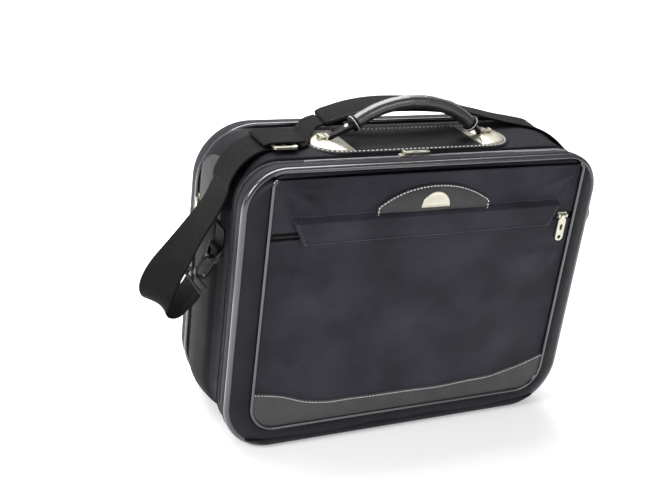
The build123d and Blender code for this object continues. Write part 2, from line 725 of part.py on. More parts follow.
corner_x = side_x - top_corner_radius
corner_z = case_height - top_corner_radius
corner_reach = top_corner_radius + strap_clearance
top_z = case_height + strap_clearance
across_y = (0, -1, 0)


def corner_stations(side, angles, y_from, y_to, width):
    """Stations round an upper corner of the case, from one depth to another."""
    places = []
    for index, angle in enumerate(angles):
        share = index / (len(angles) - 1)
        places.append(((side * (corner_x + corner_reach * cos(radians(angle))),
                        y_from + (y_to - y_from) * share,
                        corner_z + corner_reach * sin(radians(angle))), across_y, width))
    return places


turned = (0.5, -0.83, -0.2)
half_turned = (0.4, -0.88, -0.2)
eye_reach = hook_eye_height / 2 + touch_gap
left_sewn = left_start + left_hook_along * eye_reach
left_led = left_start + left_hook_along * (eye_reach + 7)
return_stations = [
    ((left_sewn.X, left_sewn.Y, left_sewn.Z), across_y, strap_width),
    ((left_led.X, left_led.Y, left_led.Z), across_y, strap_width),
    ((-side_x - 36, -25, 158), across_y, strap_width),
    ((-side_x - 40, -23, 150), across_y, strap_width),
]
left_stations = [
    ((-side_x - 56, -21, 142), turned, strap_width),
    ((-side_x - 56, -20, 158), turned, strap_width),
    ((-side_x - 50, -20, 178), half_turned, strap_width),
    ((-side_x - 37, -20, 206), (0.25, -0.95, -0.1), strap_width),
    ((-side_x - 23, -20, 234), (0.1, -1, 0), strap_width),
    ((-side_x - 10, -20, 258), across_y, strap_width),
]
left_stations += corner_stations(-1, (6, 20, 34, 48, 62, 76, 90), -20, -9, strap_width)
left_stations += [((adjuster_x + adjuster_length / 2, -7, top_z), across_y, strap_width)]
return_length = ribbon(return_stations, strap_thickness, "strap_return")
left_length = ribbon(left_stations, strap_thickness, "strap_left")

adjuster_low = strap_thickness / 2 + touch_gap
with BuildPart() as adjuster:
    frame_place = Plane.XY.offset(top_z + adjuster_low)
    with BuildSketch(frame_place):
        with Locations((adjuster_x, adjuster_y)):
            RectangleRounded(adjuster_length, strap_width + 12, 3)
            with GridLocations((adjuster_length - adjuster_bar) / 2, 0, 2, 1):
                Rectangle((adjuster_length - 3 * adjuster_bar) / 2, strap_width + 2, mode=Mode.SUBTRACT)
    extrude(amount=adjuster_thickness)
finish(adjuster, "strap_adjuster")

doubled_drop = 0.6  # the webbing dips where it leaves the adjuster
doubled_stations = [
    ((adjuster_x + adjuster_length / 2 + 4, -6, top_z - doubled_drop), across_y, strap_width),
    ((-128, -5, top_z - doubled_drop), across_y, strap_width),
    ((-119, 3, top_z + 2.2), across_y, strap_width - 2),
    ((-111, 14, top_z + 4), across_y, strap_width - 8),
    ((-100, 26, top_z + 6), across_y, strap_width - 12),
    ((-88, 32, top_z + 7.4), across_y, strap_width - 16),
]
pad_stations = [
    ((-84, 33, top_z + 8.5), across_y, pad_width - 8),
    ((-70, 31, top_z + 14), across_y, pad_width),
    ((-45, 30, top_z + 21), across_y, pad_width),
    ((-15, 30, top_z + 24.5), across_y, pad_width),
    ((20, 30, top_z + 24.5), across_y, pad_width),
    ((50, 30, top_z + 22.5), across_y, pad_width),
    ((78, 31, top_z + 18.5), across_y, pad_width),
    ((88, 31, top_z + 16.5), across_y, pad_width - 8),
]
right_sewn = right_start + right_hook_along * eye_reach
right_stations = [
    ((91, 31, top_z + 15.8), across_y, 30),
    ((120, 32, top_z + 9), across_y, right_strap_width),
    ((145, 31, top_z + 3), across_y, right_strap_width),
]
right_stations += corner_stations(1, (90, 75, 60, 45, 30, 15), 29, -12, right_strap_width)
right_led = right_start + right_hook_along * (eye_reach + 7)
right_stations += [
    ((right_led.X, right_led.Y, right_led.Z), across_y, right_strap_width),
    ((right_sewn.X, right_sewn.Y, right_sewn.Z), across_y, right_strap_width),
]
doubled_length = ribbon(doubled_stations, strap_thickness, "strap_middle", Vector(1, 0, 0))
pad_length = ribbon(pad_stations, pad_thickness, "shoulder_pad")
right_length = ribbon(right_stations, strap_thickness, "strap_right")
strap_length = return_length + left_length + doubled_length + pad_length + right_length
print("strap length", round(strap_length))
print("handle axis", handle_y, handle_axis_z, "hinge feet", front_y, rear_y, sill_height)
print("built", len(os.listdir("parts")), "files")
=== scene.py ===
import math
import bpy
import bmesh
import numpy as np
from mathutils import Matrix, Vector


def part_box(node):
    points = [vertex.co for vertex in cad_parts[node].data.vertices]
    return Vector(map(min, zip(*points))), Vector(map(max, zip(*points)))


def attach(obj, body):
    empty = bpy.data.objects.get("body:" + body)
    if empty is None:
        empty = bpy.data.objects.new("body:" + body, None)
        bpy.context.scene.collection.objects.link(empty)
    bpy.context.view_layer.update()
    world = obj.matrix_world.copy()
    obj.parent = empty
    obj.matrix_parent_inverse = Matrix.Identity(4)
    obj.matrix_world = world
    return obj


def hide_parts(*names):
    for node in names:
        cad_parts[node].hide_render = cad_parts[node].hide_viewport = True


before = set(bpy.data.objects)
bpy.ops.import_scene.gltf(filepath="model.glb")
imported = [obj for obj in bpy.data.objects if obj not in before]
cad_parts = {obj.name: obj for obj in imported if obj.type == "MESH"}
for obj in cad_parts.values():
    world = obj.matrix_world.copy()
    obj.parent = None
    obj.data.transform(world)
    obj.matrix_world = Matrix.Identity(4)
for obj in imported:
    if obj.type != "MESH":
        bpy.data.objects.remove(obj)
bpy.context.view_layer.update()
print("frame loaded:", len(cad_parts), "nodes")

mm = 0.001
forward = (0, -1, 0)  # from the case towards whoever faces its pocket

# what the whole case shares
case = {
    "width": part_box("main_shell")[1][0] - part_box("main_shell")[0][0],
    "height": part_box("main_shell")[1][2],
    "topCorner": 44 * mm,
    "bottomCorner": 56 * mm,
    "sill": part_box("base_panel")[1][2],  # the sections open above it
    "sillGap": 0.4 * mm,
    "rearY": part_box("base_panel")[1][1],
    "shellFront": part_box("front_shell")[0][1],
    "shellRear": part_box("front_shell")[1][1],
    "mainFront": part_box("main_shell")[0][1],
    "mainRear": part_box("main_shell")[1][1],
    "rearFront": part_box("rear_shell")[0][1],
}
halfWidth = case["width"] / 2

view = {"azimuth": -27.74, "elevation": 23.80, "roll": 7.15, "focal": 60.55,
        "place": (-0.5894, -0.9794, 0.6828)}

studio = {
    "worldColour": (0.96, 0.97, 1, 1), "worldStrength": 0.34,
    "paper": (0.93, 0.93, 0.935, 1), "paperRoughness": 0.85, "paperGlow": 0.30, "floorReach": 6,
    "lamps": {  # place, what it faces, its two sides, watts
        "overhead": ((-0.3, 0.7, 1.9), (0, 0, 0.2), (2.2, 0.9), 40),
        "window": ((-2.0, -0.3, 1.3), (0, 0, 0.15), (0.5, 0.9), 32),
        "fill": ((0.7, -2.2, 1.3), (0, 0, 0.15), (1.2, 0.9), 12),
        "backdrop": ((0.4, 2.6, 2.2), (0.2, 2.6, 0), (3.0, 2.4), 95),
    },
}


# A four by four matrix whose columns are three directions and a place.
def placed(right, up, back, place):
    return Matrix([[right[i], up[i], back[i], place[i]] for i in range(3)] + [[0, 0, 0, 1]])


# The camera's back is a point on a sphere, from azimuth and elevation; roll turns right and up about it.
def makeCamera():
    a, e, r = (math.radians(view[k]) for k in ("azimuth", "elevation", "roll"))
    back = np.array([math.sin(a) * math.cos(e), -math.cos(a) * math.cos(e), math.sin(e)])
    right = np.array([math.cos(a), math.sin(a), 0])
    up = np.cross(back, right)
    turnedRight = right * math.cos(r) + up * math.sin(r)
    turnedUp = up * math.cos(r) - right * math.sin(r)
    data = bpy.data.cameras.new("camera")
    data.lens = view["focal"]
    data.sensor_width = 36
    data.clip_start = 0.02
    camera = bpy.data.objects.new("camera", data)
    camera.matrix_world = placed(turnedRight, turnedUp, back, view["place"])
    bpy.context.collection.objects.link(camera)
    bpy.context.scene.camera = camera


# A rectangular lamp whose back is the unit vector from its target to its place.
def areaLight(name, place, target, size, power):
    data = bpy.data.lights.new(name, "AREA")
    data.shape = "RECTANGLE"
    data.size, data.size_y = size
    data.energy = power
    lamp = bpy.data.objects.new(name, data)
    back = np.array(place, float) - np.array(target, float)
    back /= np.linalg.norm(back)
    right = np.cross((0, 1, 0) if abs(back[2]) > 0.9 else (0, 0, 1), back)
    right /= np.linalg.norm(right)
    lamp.matrix_world = placed(right, np.cross(back, right), back, place)
    bpy.context.collection.objects.link(lamp)


# White as the camera sees it, weaker as it lights the case, over a square pale floor.
def makeStage():
    scene = bpy.context.scene
    scene.view_settings.view_transform = "Standard"
    world = bpy.data.worlds.new("studio")
    scene.world = world
    world.use_nodes = True
    tree = world.node_tree
    tree.nodes.clear()
    out = tree.nodes.new("ShaderNodeOutputWorld")
    seen = tree.nodes.new("ShaderNodeBackground")
    seen.inputs["Color"].default_value = (1, 1, 1, 1)
    lit = tree.nodes.new("ShaderNodeBackground")
    lit.inputs["Color"].default_value = studio["worldColour"]
    lit.inputs["Strength"].default_value = studio["worldStrength"]
    ray = tree.nodes.new("ShaderNodeLightPath")
    mix = tree.nodes.new("ShaderNodeMixShader")
    tree.links.new(ray.outputs["Is Camera Ray"], mix.inputs[0])
    tree.links.new(lit.outputs[0], mix.inputs[1])
    tree.links.new(seen.outputs[0], mix.inputs[2])
    tree.links.new(mix.outputs[0], out.inputs[0])
    far = studio["floorReach"]
    floorMesh = bpy.data.meshes.new("floor")
    corners = [(-far, -far, 0), (far, -far, 0), (far, far, 0), (-far, far, 0)]
    floorMesh.from_pydata(corners, [], [(0, 1, 2, 3)])
    floor = bpy.data.objects.new("floor", floorMesh)
    bpy.context.collection.objects.link(floor)
    paper = bpy.data.materials.new("paper")
    paper.use_nodes = True
    shader = paper.node_tree.nodes["Principled BSDF"]
    shader.inputs["Base Color"].default_value = studio["paper"]
    shader.inputs["Roughness"].default_value = studio["paperRoughness"]
    shader.inputs["Emission Color"].default_value = (1, 1, 1, 1)
    shader.inputs["Emission Strength"].default_value = studio["paperGlow"]
    floorMesh.materials.append(paper)
    for name, lamp in studio["lamps"].items():
        areaLight(name, *lamp)


makeCamera()
makeStage()
print("camera and light placed")


# A material, its Principled shader and its tree, with plain constants set on the shader.
def shaderOf(name, colour, roughness, metallic=0.0, sheen=0.0, coat=0.0, specular=0.5):
    material = bpy.data.materials.new(name)
    material.use_nodes = True
    tree = material.node_tree
    shader = tree.nodes["Principled BSDF"]
    for socket, value in (("Base Color", (*colour, 1)), ("Roughness", roughness), ("Metallic", metallic),
                          ("Sheen Weight", sheen), ("Sheen Roughness", 0.35), ("Coat Weight", coat),
                          ("Coat Roughness", 0.2), ("Specular IOR Level", specular)):
        shader.inputs[socket].default_value = value
    return material, shader, tree


# One Math node on one or two values, each a socket or a number.
def maths(tree, kind, a, b=None):
    node = tree.nodes.new("ShaderNodeMath")
    node.operation = kind
    for slot, value in enumerate((a, b)):
        if hasattr(value, "links"):
            tree.links.new(value, node.inputs[slot])
        elif value is not None:
            node.inputs[slot].default_value = value
    return node.outputs[0]


# Fractal noise over a vector, from 0 to 1.
def noiseOf(tree, vector, scale, detail=3.0):
    node = tree.nodes.new("ShaderNodeTexNoise")
    node.inputs["Scale"].default_value = scale
    node.inputs["Detail"].default_value = detail
    node.inputs["Roughness"].default_value = 0.55
    tree.links.new(vector, node.inputs["Vector"])
    return node.outputs["Fac"]


# Base colour that blends from dark at one value to light at another.
def colourOf(tree, shader, value, low, high, dark, light):
    node = tree.nodes.new("ShaderNodeValToRGB")
    for element, place, colour in zip(node.color_ramp.elements, (low, high), (dark, light)):
        element.position = place
        element.color = (*colour, 1)
    tree.links.new(value, node.inputs[0])
    tree.links.new(node.outputs[0], shader.inputs["Base Color"])


# A normal tilted by the slope of a height, whose full step is depth.
def bumpOf(tree, shader, height, depth):
    node = tree.nodes.new("ShaderNodeBump")
    node.inputs["Distance"].default_value = depth
    tree.links.new(height, node.inputs["Height"])
    tree.links.new(node.outputs[0], shader.inputs["Normal"])


# Roughness that runs from low to high as a value runs from 0 to 1.
def roughOf(tree, shader, value, low, high):
    node = tree.nodes.new("ShaderNodeMapRange")
    node.inputs["To Min"].default_value = low
    node.inputs["To Max"].default_value = high
    tree.links.new(value, node.inputs["Value"])
    tree.links.new(node.outputs[0], shader.inputs["Roughness"])


# Object coordinates, whole.
def placeOf(tree):
    return tree.nodes.new("ShaderNodeTexCoord").outputs["Object"]


# The three parts of a vector.
def partsOf(tree, vector):
    split = tree.nodes.new("ShaderNodeSeparateXYZ")
    tree.links.new(vector, split.inputs[0])
    return split.outputs


# A sine of one coordinate, one period to a pitch.
def wavesOf(tree, value, pitch):
    return maths(tree, "SINE", maths(tree, "MULTIPLY", value, 2 * math.pi / pitch))


# Plain weave: warp and weft sines multiplied, over slow mottling and a fine crumple.
def clothFinish(name, dark, light, pitch, roughness, sheen, depth=0.00012, crumple=0.0, specular=0.4,
                mottle=28):
    material, shader, tree = shaderOf(name, dark, roughness, sheen=sheen, specular=specular)
    shader.inputs["Sheen Tint"].default_value = (0.80, 0.80, 1.0, 1)
    place = placeOf(tree)
    x, y, z = partsOf(tree, place)
    lean = maths(tree, "MULTIPLY", y, 0.7)  # so that the weave also shows on faces across the others
    warp = wavesOf(tree, maths(tree, "ADD", x, lean), pitch)
    weft = wavesOf(tree, maths(tree, "SUBTRACT", z, lean), pitch)
    colourOf(tree, shader, noiseOf(tree, place, mottle, 4), 0.3, 0.72, dark, light)
    roughOf(tree, shader, noiseOf(tree, place, 60, 2), roughness - 0.06, roughness + 0.08)
    creases = maths(tree, "MULTIPLY", noiseOf(tree, place, 45, 5), crumple)
    bumpOf(tree, shader, maths(tree, "ADD", maths(tree, "MULTIPLY", warp, weft), creases), depth)
    return material


# Leather: the creases between Voronoi cells, cut off at a depth, plus noise.
def leatherFinish(name, dark, light, roughness, grain, depth, coat=0.0, specular=0.5):
    material, shader, tree = shaderOf(name, dark, roughness, coat=coat, specular=specular)
    place = placeOf(tree)
    cells = tree.nodes.new("ShaderNodeTexVoronoi")
    cells.feature = "DISTANCE_TO_EDGE"
    cells.inputs["Scale"].default_value = grain
    tree.links.new(place, cells.inputs["Vector"])
    crease = maths(tree, "MINIMUM", cells.outputs["Distance"], 0.12)
    soft = noiseOf(tree, place, grain * 0.6, 4)
    colourOf(tree, shader, noiseOf(tree, place, 35, 4), 0.3, 0.7, dark, light)
    roughOf(tree, shader, soft, roughness - 0.08, roughness + 0.1)
    bumpOf(tree, shader, maths(tree, "ADD", maths(tree, "MULTIPLY", crease, 6.0), soft), depth)
    return material


# Satin metal: noise drawn out along X for the brushing, and handling marks in colour and roughness.
def metalFinish(name, colour, roughness, brush=0.00002, metallic=1.0):
    material, shader, tree = shaderOf(name, colour, roughness, metallic=metallic)
    place = placeOf(tree)
    stretch = tree.nodes.new("ShaderNodeMapping")
    stretch.inputs["Scale"].default_value = (60, 900, 900)
    tree.links.new(place, stretch.inputs[0])
    bumpOf(tree, shader, noiseOf(tree, stretch.outputs[0], 1.0, 2), brush)
    roughOf(tree, shader, noiseOf(tree, place, 130, 4), roughness - 0.07, roughness + 0.12)
    colourOf(tree, shader, noiseOf(tree, place, 70, 3), 0.35, 0.65, tuple(c * 0.82 for c in colour), colour)
    return material


# Webbing in its own coordinates: sine ribs across it and finer sine warp along it.
def webbingFinish(name, dark, light, rib=1.3 * mm, warp=2.1 * mm):
    material, shader, tree = shaderOf(name, dark, 0.62, specular=0.10)
    uv = tree.nodes.new("ShaderNodeUVMap")
    uv.uv_map = "run"
    across, along, _ = partsOf(tree, uv.outputs[0])
    threads = maths(tree, "MULTIPLY", wavesOf(tree, across, warp), 0.7)
    place = placeOf(tree)
    colourOf(tree, shader, noiseOf(tree, place, 40, 4), 0.3, 0.75, dark, light)
    roughOf(tree, shader, noiseOf(tree, place, 300, 2), 0.5, 0.7)
    bumpOf(tree, shader, maths(tree, "ADD", wavesOf(tree, along, rib), threads), 0.00016)
    return material


# colours from dark to light, then the pitch, roughness and sheen of cloth, or roughness, grain and depth of
# leather
finish = {
    "nylon": clothFinish("blackNylon", (0.0085, 0.0085, 0.0125), (0.0160, 0.0157, 0.0225), 0.9 * mm, 0.50,
                         0.02, crumple=7.0, specular=0.18),
    # a darker copy of the nylon for the top: painted shade that offsets the overhead lamp
    "shadedTopNylon": clothFinish("shadedTopNylon", (0.0060, 0.0054, 0.0078), (0.0140, 0.0128, 0.0175), 0.9 * mm,
                            0.60, 0.0, crumple=5.0, specular=0.14),
    "satin": clothFinish("pocketSatin", (0.0185, 0.0182, 0.0245), (0.0450, 0.0438, 0.0565), 0.7 * mm,
                         0.46, 0.02, depth=0.00009, crumple=14.0, specular=0.12, mottle=15),
    "gusset": clothFinish("gussetNylon", (0.0060, 0.0060, 0.0066), (0.0130, 0.0130, 0.0140), 1.1 * mm,
                          0.58, 0.0, depth=0.00014, crumple=4.0, specular=0.12),
    "lining": clothFinish("lining", (0.020, 0.020, 0.022), (0.034, 0.034, 0.037), 0.8 * mm, 0.75, 0.05),
    # a lighter grey cloth, only for the painted light where the left side catches the light
    "paintedLightCloth": clothFinish("paintedLightCloth", (0.045, 0.045, 0.046), (0.075, 0.075, 0.076), 1.0 * mm, 0.6, 0.03,
                             specular=0.2),
    "piping": leatherFinish("pipingLeather", (0.009, 0.009, 0.011), (0.017, 0.017, 0.020), 0.16, 900, 0.00003,
                            coat=1.0, specular=0.8),
    "thinPiping": leatherFinish("thinPiping", (0.006, 0.006, 0.008), (0.012, 0.012, 0.015), 0.10, 1200,
                                0.00001, coat=1.0, specular=0.9),
    "leather": leatherFinish("blackLeather", (0.0026, 0.0026, 0.0030), (0.0060, 0.0060, 0.0066), 0.45,
                             620, 0.00018, specular=0.16),
    "badge": leatherFinish("badgeLeather", (0.0035, 0.0040, 0.0045), (0.0100, 0.0110, 0.0120), 0.34, 620,
                           0.00024, coat=0.30),
    "grip": leatherFinish("gripLeather", (0.022, 0.022, 0.024), (0.045, 0.045, 0.048), 0.20, 700, 0.00010,
                          coat=1.0),
    "trim": leatherFinish("trimLeather", (0.034, 0.034, 0.035), (0.058, 0.058, 0.059), 0.55, 800, 0.00005),
    "nickel": metalFinish("satinNickel", (0.68, 0.65, 0.54), 0.30, metallic=0.85),
    "steel": metalFinish("springSteel", (0.50, 0.50, 0.51), 0.35),
    "blackMetal": metalFinish("blackMetal", (0.012, 0.012, 0.014), 0.30, metallic=0.3),
    "tape": clothFinish("zipTape", (0.0030, 0.0030, 0.0036), (0.0060, 0.0060, 0.0070), 1.2 * mm, 0.7, 0.02),
    "coil": leatherFinish("coil", (0.008, 0.008, 0.009), (0.016, 0.016, 0.018), 0.28, 500, 0.00001, coat=0.4),
    # a bright metal copy of the coil, for a painted glint on the front zip's top
    "paintedGlintCoil": metalFinish("paintedGlintCoil", (0.40, 0.40, 0.42), 0.28),
    "thread": clothFinish("paleThread", (0.80, 0.80, 0.77), (0.95, 0.95, 0.92), 0.5 * mm, 0.6, 0.2),
    "darkThread": clothFinish("darkThread", (0.075, 0.075, 0.095), (0.12, 0.12, 0.145), 0.5 * mm, 0.6, 0.1),
    "webbing": webbingFinish("webbing", (0.0024, 0.0024, 0.0024), (0.0056, 0.0056, 0.0054)),
    "padCloth": webbingFinish("padCloth", (0.0012, 0.0012, 0.0014), (0.0036, 0.0036, 0.0040), rib=1.8 * mm),
    "board": leatherFinish("board", (0.020, 0.020, 0.022), (0.03, 0.03, 0.033), 0.6, 500, 0.00006),
}
print("finishes made:", len(finish))


# Quads between neighbours in a grid of points, wrapped where it is closed.
def grid(rows, columns, closeRows=False, closeColumns=False, flip=False):
    i = np.arange(rows if closeRows else rows - 1)
    j = np.arange(columns if closeColumns else columns - 1)
    i, j = (k.ravel() for k in np.meshgrid(i, j, indexing="ij"))
    nextI, nextJ = (i + 1) % rows, (j + 1) % columns
    quads = np.stack([i * columns + j, nextI * columns + j, nextI * columns + nextJ, i * columns + nextJ], 1)
    return quads[:, ::-1] if flip else quads


# Triangles from each pair of neighbours on a rim to one hub.
def fan(rim, hub):
    return np.stack([rim, np.roll(rim, -1), np.full(len(rim), hub)], 1)


# Two many-sided faces, over the first and the last column of a grid whose rows are closed.
def endFaces(rows, columns):
    first = np.arange(rows) * columns
    return [first.tolist(), (first + columns - 1)[::-1].tolist()]


# A mesh object from arrays of points and faces; uv is a pair for each point, read as the map "run".
def meshOf(name, points, faces, material, uv=None):
    points = np.asarray(points, float).reshape(-1, 3)
    data = bpy.data.meshes.new(name)
    data.from_pydata(points.tolist(), [], faces if isinstance(faces, list) else faces.tolist())
    if uv is not None:
        layer = data.uv_layers.new(name="run")
        corner = np.empty(len(data.loops), np.int32)
        data.loops.foreach_get("vertex_index", corner)
        layer.data.foreach_set("uv", np.asarray(uv, float).reshape(-1, 2)[corner].astype(np.float32).ravel())
    data.materials.append(finish[material])
    data.polygons.foreach_set("use_smooth", np.full(len(data.polygons), True))
    data.update()
    piece = bpy.data.objects.new(name, data)
    bpy.context.collection.objects.link(piece)
    return piece


# Points closer than a distance become one, then every face turns outwards.
def closed(piece, merge=0.01 * mm):
    work = bmesh.new()
    work.from_mesh(piece.data)
    bmesh.ops.remove_doubles(work, verts=work.verts, dist=merge)
    bmesh.ops.recalc_face_normals(work, faces=work.faces)
    work.to_mesh(piece.data)
    work.free()
    return piece


fineMerge = 1e-7  # for pieces with real edges shorter than the usual merge


# Keeps what lies above or below a level, and fills the cut.
def cutAt(piece, height, keepAbove):
    work = bmesh.new()
    work.from_mesh(piece.data)
    geometry = work.verts[:] + work.edges[:] + work.faces[:]
    cut = bmesh.ops.bisect_plane(work, geom=geometry, plane_co=(0, 0, height), plane_no=(0, 0, 1),
                                 clear_inner=keepAbove, clear_outer=not keepAbove)
    edges = [e for e in cut["geom_cut"] if isinstance(e, bmesh.types.BMEdge)]
    bmesh.ops.holes_fill(work, edges=edges, sides=0)
    bmesh.ops.recalc_face_normals(work, faces=work.faces)
    work.to_mesh(piece.data)
    work.free()
    return piece


# A piece rides on a body and stands for its nodes, which it hides; slot is not used.
def give(piece, body, *nodes, slot=None):
    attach(piece, body)
    if nodes:
        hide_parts(*nodes)


# The middle of every face of a piece.
def faceCentres(piece):
    centres = np.empty(len(piece.data.polygons) * 3)
    piece.data.polygons.foreach_get("center", centres)
    return centres.reshape(-1, 3)


# A rounded rectangle in X and Z. t runs 0 to 9 through five straight runs and four quarter arcs, from the
# middle of the bottom to the right, up, over the top and back; it gives points and outward normals.
def loopAt(t, half, low, high, lowRadius, highRadius):
    t = np.asarray(t, float) % 9
    x, z, nx, nz = (np.zeros_like(t) for _ in range(4))
    lowX, highX = half - lowRadius, half - highRadius
    lowZ, highZ = low + lowRadius, high - highRadius
    runs = [((0, low), (lowX, low), (0, -1)), ((half, lowZ), (half, highZ), (1, 0)),
            ((highX, high), (-highX, high), (0, 1)), ((-half, highZ), (-half, lowZ), (-1, 0)),
            ((-lowX, low), (0, low), (0, -1))]
    corners = [(lowX, lowZ, lowRadius, -90), (highX, highZ, highRadius, 0), (-highX, highZ, highRadius, 90),
               (-lowX, lowZ, lowRadius, 180)]
    for k, ((x0, z0), (x1, z1), outward) in enumerate(runs):
        on = (t >= 2 * k) & (t < 2 * k + 1)
        share = t[on] - 2 * k
        x[on], z[on] = x0 + (x1 - x0) * share, z0 + (z1 - z0) * share
        nx[on], nz[on] = outward
    for k, (centreX, centreZ, radius, start) in enumerate(corners):
        on = (t >= 2 * k + 1) & (t < 2 * k + 2)
        angle = np.radians(start + 90 * (t[on] - 2 * k - 1))
        nx[on], nz[on] = np.cos(angle), np.sin(angle)
        x[on], z[on] = centreX + radius * nx[on], centreZ + radius * nz[on]
    return x, z, nx, nz


# values of t round the whole case: 40 to a straight run, 22 to a corner
around = np.concatenate([np.linspace(k, k + 1, 22 if k % 2 else 40, endpoint=False) for k in range(9)])
caseLoop = loopAt(around, halfWidth, 0.0, case["height"], case["bottomCorner"], case["topCorner"])
outX, outZ, outNx, outNz = caseLoop
sideness = np.abs(outNx) ** 1.6  # 1 on the sides, 0 on the top and the bottom


# Carries a profile round a loop: each point moves along the normal by an offset, at a depth y. Offset and y
# are arrays across the profile, or grids of around by across.
def carry(offset, y, loop=caseLoop):
    offset, y = (np.broadcast_to(v, (len(around), np.shape(v)[-1])) for v in (offset, y))
    x, z, nx, nz = (v[:, None] for v in loop)
    return np.stack([x + nx * offset, y, z + nz * offset], -1)


# One line round the case.
def lineRound(offset, y, loop=caseLoop):
    return carry([offset], [y], loop)[:, 0]


# A closed skin through rings that go round the case and close on themselves across.
def ringPiece(name, points, material, merge=0.01 * mm):
    faces = grid(*points.shape[:2], closeRows=True, closeColumns=True)
    return closed(meshOf(name, points, faces, material), merge)


# 0 below one value, 1 above another, with a cubic between.
def smoothStep(value, low, high):
    share = np.clip((value - low) / (high - low), 0, 1)
    return share * share * (3 - 2 * share)


# Vectors divided by their length.
def unit(v):
    return v / np.maximum(np.linalg.norm(v, axis=-1, keepdims=True), 1e-12)


# The distance along a line to each of its points.
def runOf(points):
    return np.concatenate([[0], np.cumsum(np.linalg.norm(np.diff(points, axis=0), axis=1))])


# Points evenly spaced along a broken line.
def along(points, step=None, count=None):
    run = runOf(points)
    count = count or max(int(round(run[-1] / step)), 2) + 1
    at = np.linspace(0, run[-1], count)
    return np.stack([np.interp(at, run, points[:, k]) for k in range(3)], 1)


# Circles about each point of a line, across its tangent; the reference gives their first direction.
def tubePoints(points, radius, reference, sides=12, closedLine=False):
    ahead = np.roll(points, -1, 0) - np.roll(points, 1, 0) if closedLine else np.gradient(points, axis=0)
    tangent = unit(ahead)
    side = unit(np.cross(np.broadcast_to(reference, points.shape), tangent))
    up = np.cross(tangent, side)
    angle = np.linspace(0, 2 * np.pi, sides, endpoint=False)[None, :, None]
    radius = np.broadcast_to(radius, (len(points),))[:, None, None]
    return points[:, None] + radius * (np.cos(angle) * side[:, None] + np.sin(angle) * up[:, None])


# Rings joined into a skin, with a fan from the first to one point and from the last to another.
def capped(name, rings, start, stop, material, uv=None):
    rows, sides = rings.shape[:2]
    count, rim = rows * sides, np.arange(sides)
    faces = (grid(rows, sides, closeColumns=True).tolist() + fan(rim, count).tolist()
             + fan(count - sides + rim, count + 1).tolist())
    vertices = np.vstack([rings.reshape(-1, 3), start, stop])
    return closed(meshOf(name, vertices, faces, material, uv=uv), fineMerge)


# A round section carried along a line, its ends closed by fans, or the line closed on itself.
def tube(name, points, radius, material, reference=(0, 1, 0), sides=12, closedLine=False):
    rings = tubePoints(points, radius, reference, sides, closedLine)
    if closedLine:
        return closed(meshOf(name, rings, grid(len(rings), sides, True, True), material))
    return capped(name, rings, rings[0].mean(0), rings[-1].mean(0), material)


seams = {  # thread, and the length, gap, radius and height of its stitches, in millimetres
    "trim": ("thread", 2.6, 1.3, 0.60, 0.35),
    "badge": ("thread", 2.6, 1.3, 0.72, 0.40),
    "flap": ("darkThread", 3.0, 1.3, 0.45, 0.25),
    "patch": ("thread", 3.2, 1.8, 0.75, 0.40),
    "grip": ("darkThread", 3.0, 1.3, 0.40, 0.15),
    "tab": ("darkThread", 2.0, 1.3, 0.30, 0.15),
    "pad": ("darkThread", 3.0, 1.3, 0.40, 0.15),
}


# Spindles of thread end to end along a line, half sunk: six-sided rings at five stations, thin at both ends.
def sew(name, line, outward, seam, body, slot):
    material, length, gap, radius, lift = seams[seam]
    centres = along(line, step=(length + gap) * mm)
    tangent = unit(np.gradient(centres, axis=0))
    normal = np.broadcast_to(np.asarray(outward, float), centres.shape)
    normal = unit(normal - tangent * (normal * tangent).sum(1, keepdims=True))
    side = np.cross(tangent, normal)
    sides = 6
    stations = np.array([-0.5, -0.38, 0.0, 0.38, 0.5])
    girth = np.array([0.15, 0.8, 1.0, 0.8, 0.15])
    angle = np.linspace(0, 2 * np.pi, sides, endpoint=False)[None, :, None, None]
    ring = np.cos(angle) * side[None, None] + np.sin(angle) * normal[None, None]
    points = (centres + lift * mm * normal)[None, None] + girth[:, None, None, None] * radius * mm * ring
    points = points + stations[:, None, None, None] * length * mm * tangent[None, None]
    points = np.moveaxis(points, 2, 0).reshape(len(centres), -1, 3)
    caps = np.array([[0, 1, 2, 3], [0, 3, 4, 5]])
    farCaps = (len(stations) - 1) * sides + caps
    one = np.vstack([grid(len(stations), sides, closeColumns=True)[:, ::-1], caps[:, ::-1], farCaps])
    faces = (one[None] + (np.arange(len(centres)) * len(stations) * sides)[:, None, None]).reshape(-1, 4)
    give(closed(meshOf(name, points, faces, material), 1e-8), body, slot=slot)


teeth = {"width": 4.2 * mm, "wire": 0.9 * mm, "perTurn": 8, "pocketPitch": 1.5 * mm, "sectionPitch": 1.7 * mm}


# A zip's teeth: a helix along a line, flattened towards the tape, with a four-sided wire.
def coil(name, line, outward, pitch):
    turns = int(runOf(line)[-1] / pitch)
    centres = along(line, count=turns * teeth["perTurn"] + 1)
    normals = np.broadcast_to(np.asarray(outward, float), line.shape)
    run, at = np.linspace(0, 1, len(line)), np.linspace(0, 1, len(centres))
    normal = unit(np.stack([np.interp(at, run, normals[:, k]) for k in range(3)], 1))
    side = unit(np.cross(np.gradient(centres, axis=0), normal))
    angle = (np.arange(len(centres)) * 2 * np.pi / teeth["perTurn"])[:, None]
    path = centres + side * np.cos(angle) * teeth["width"] / 2 + normal * np.sin(angle) * teeth["wire"] * 1.1
    rings = tubePoints(path, teeth["wire"] / 2, (0.31, 0.17, 0.93), 4)
    return closed(meshOf(name, rings, grid(len(rings), 4, closeColumns=True), "coil"), 1e-8)


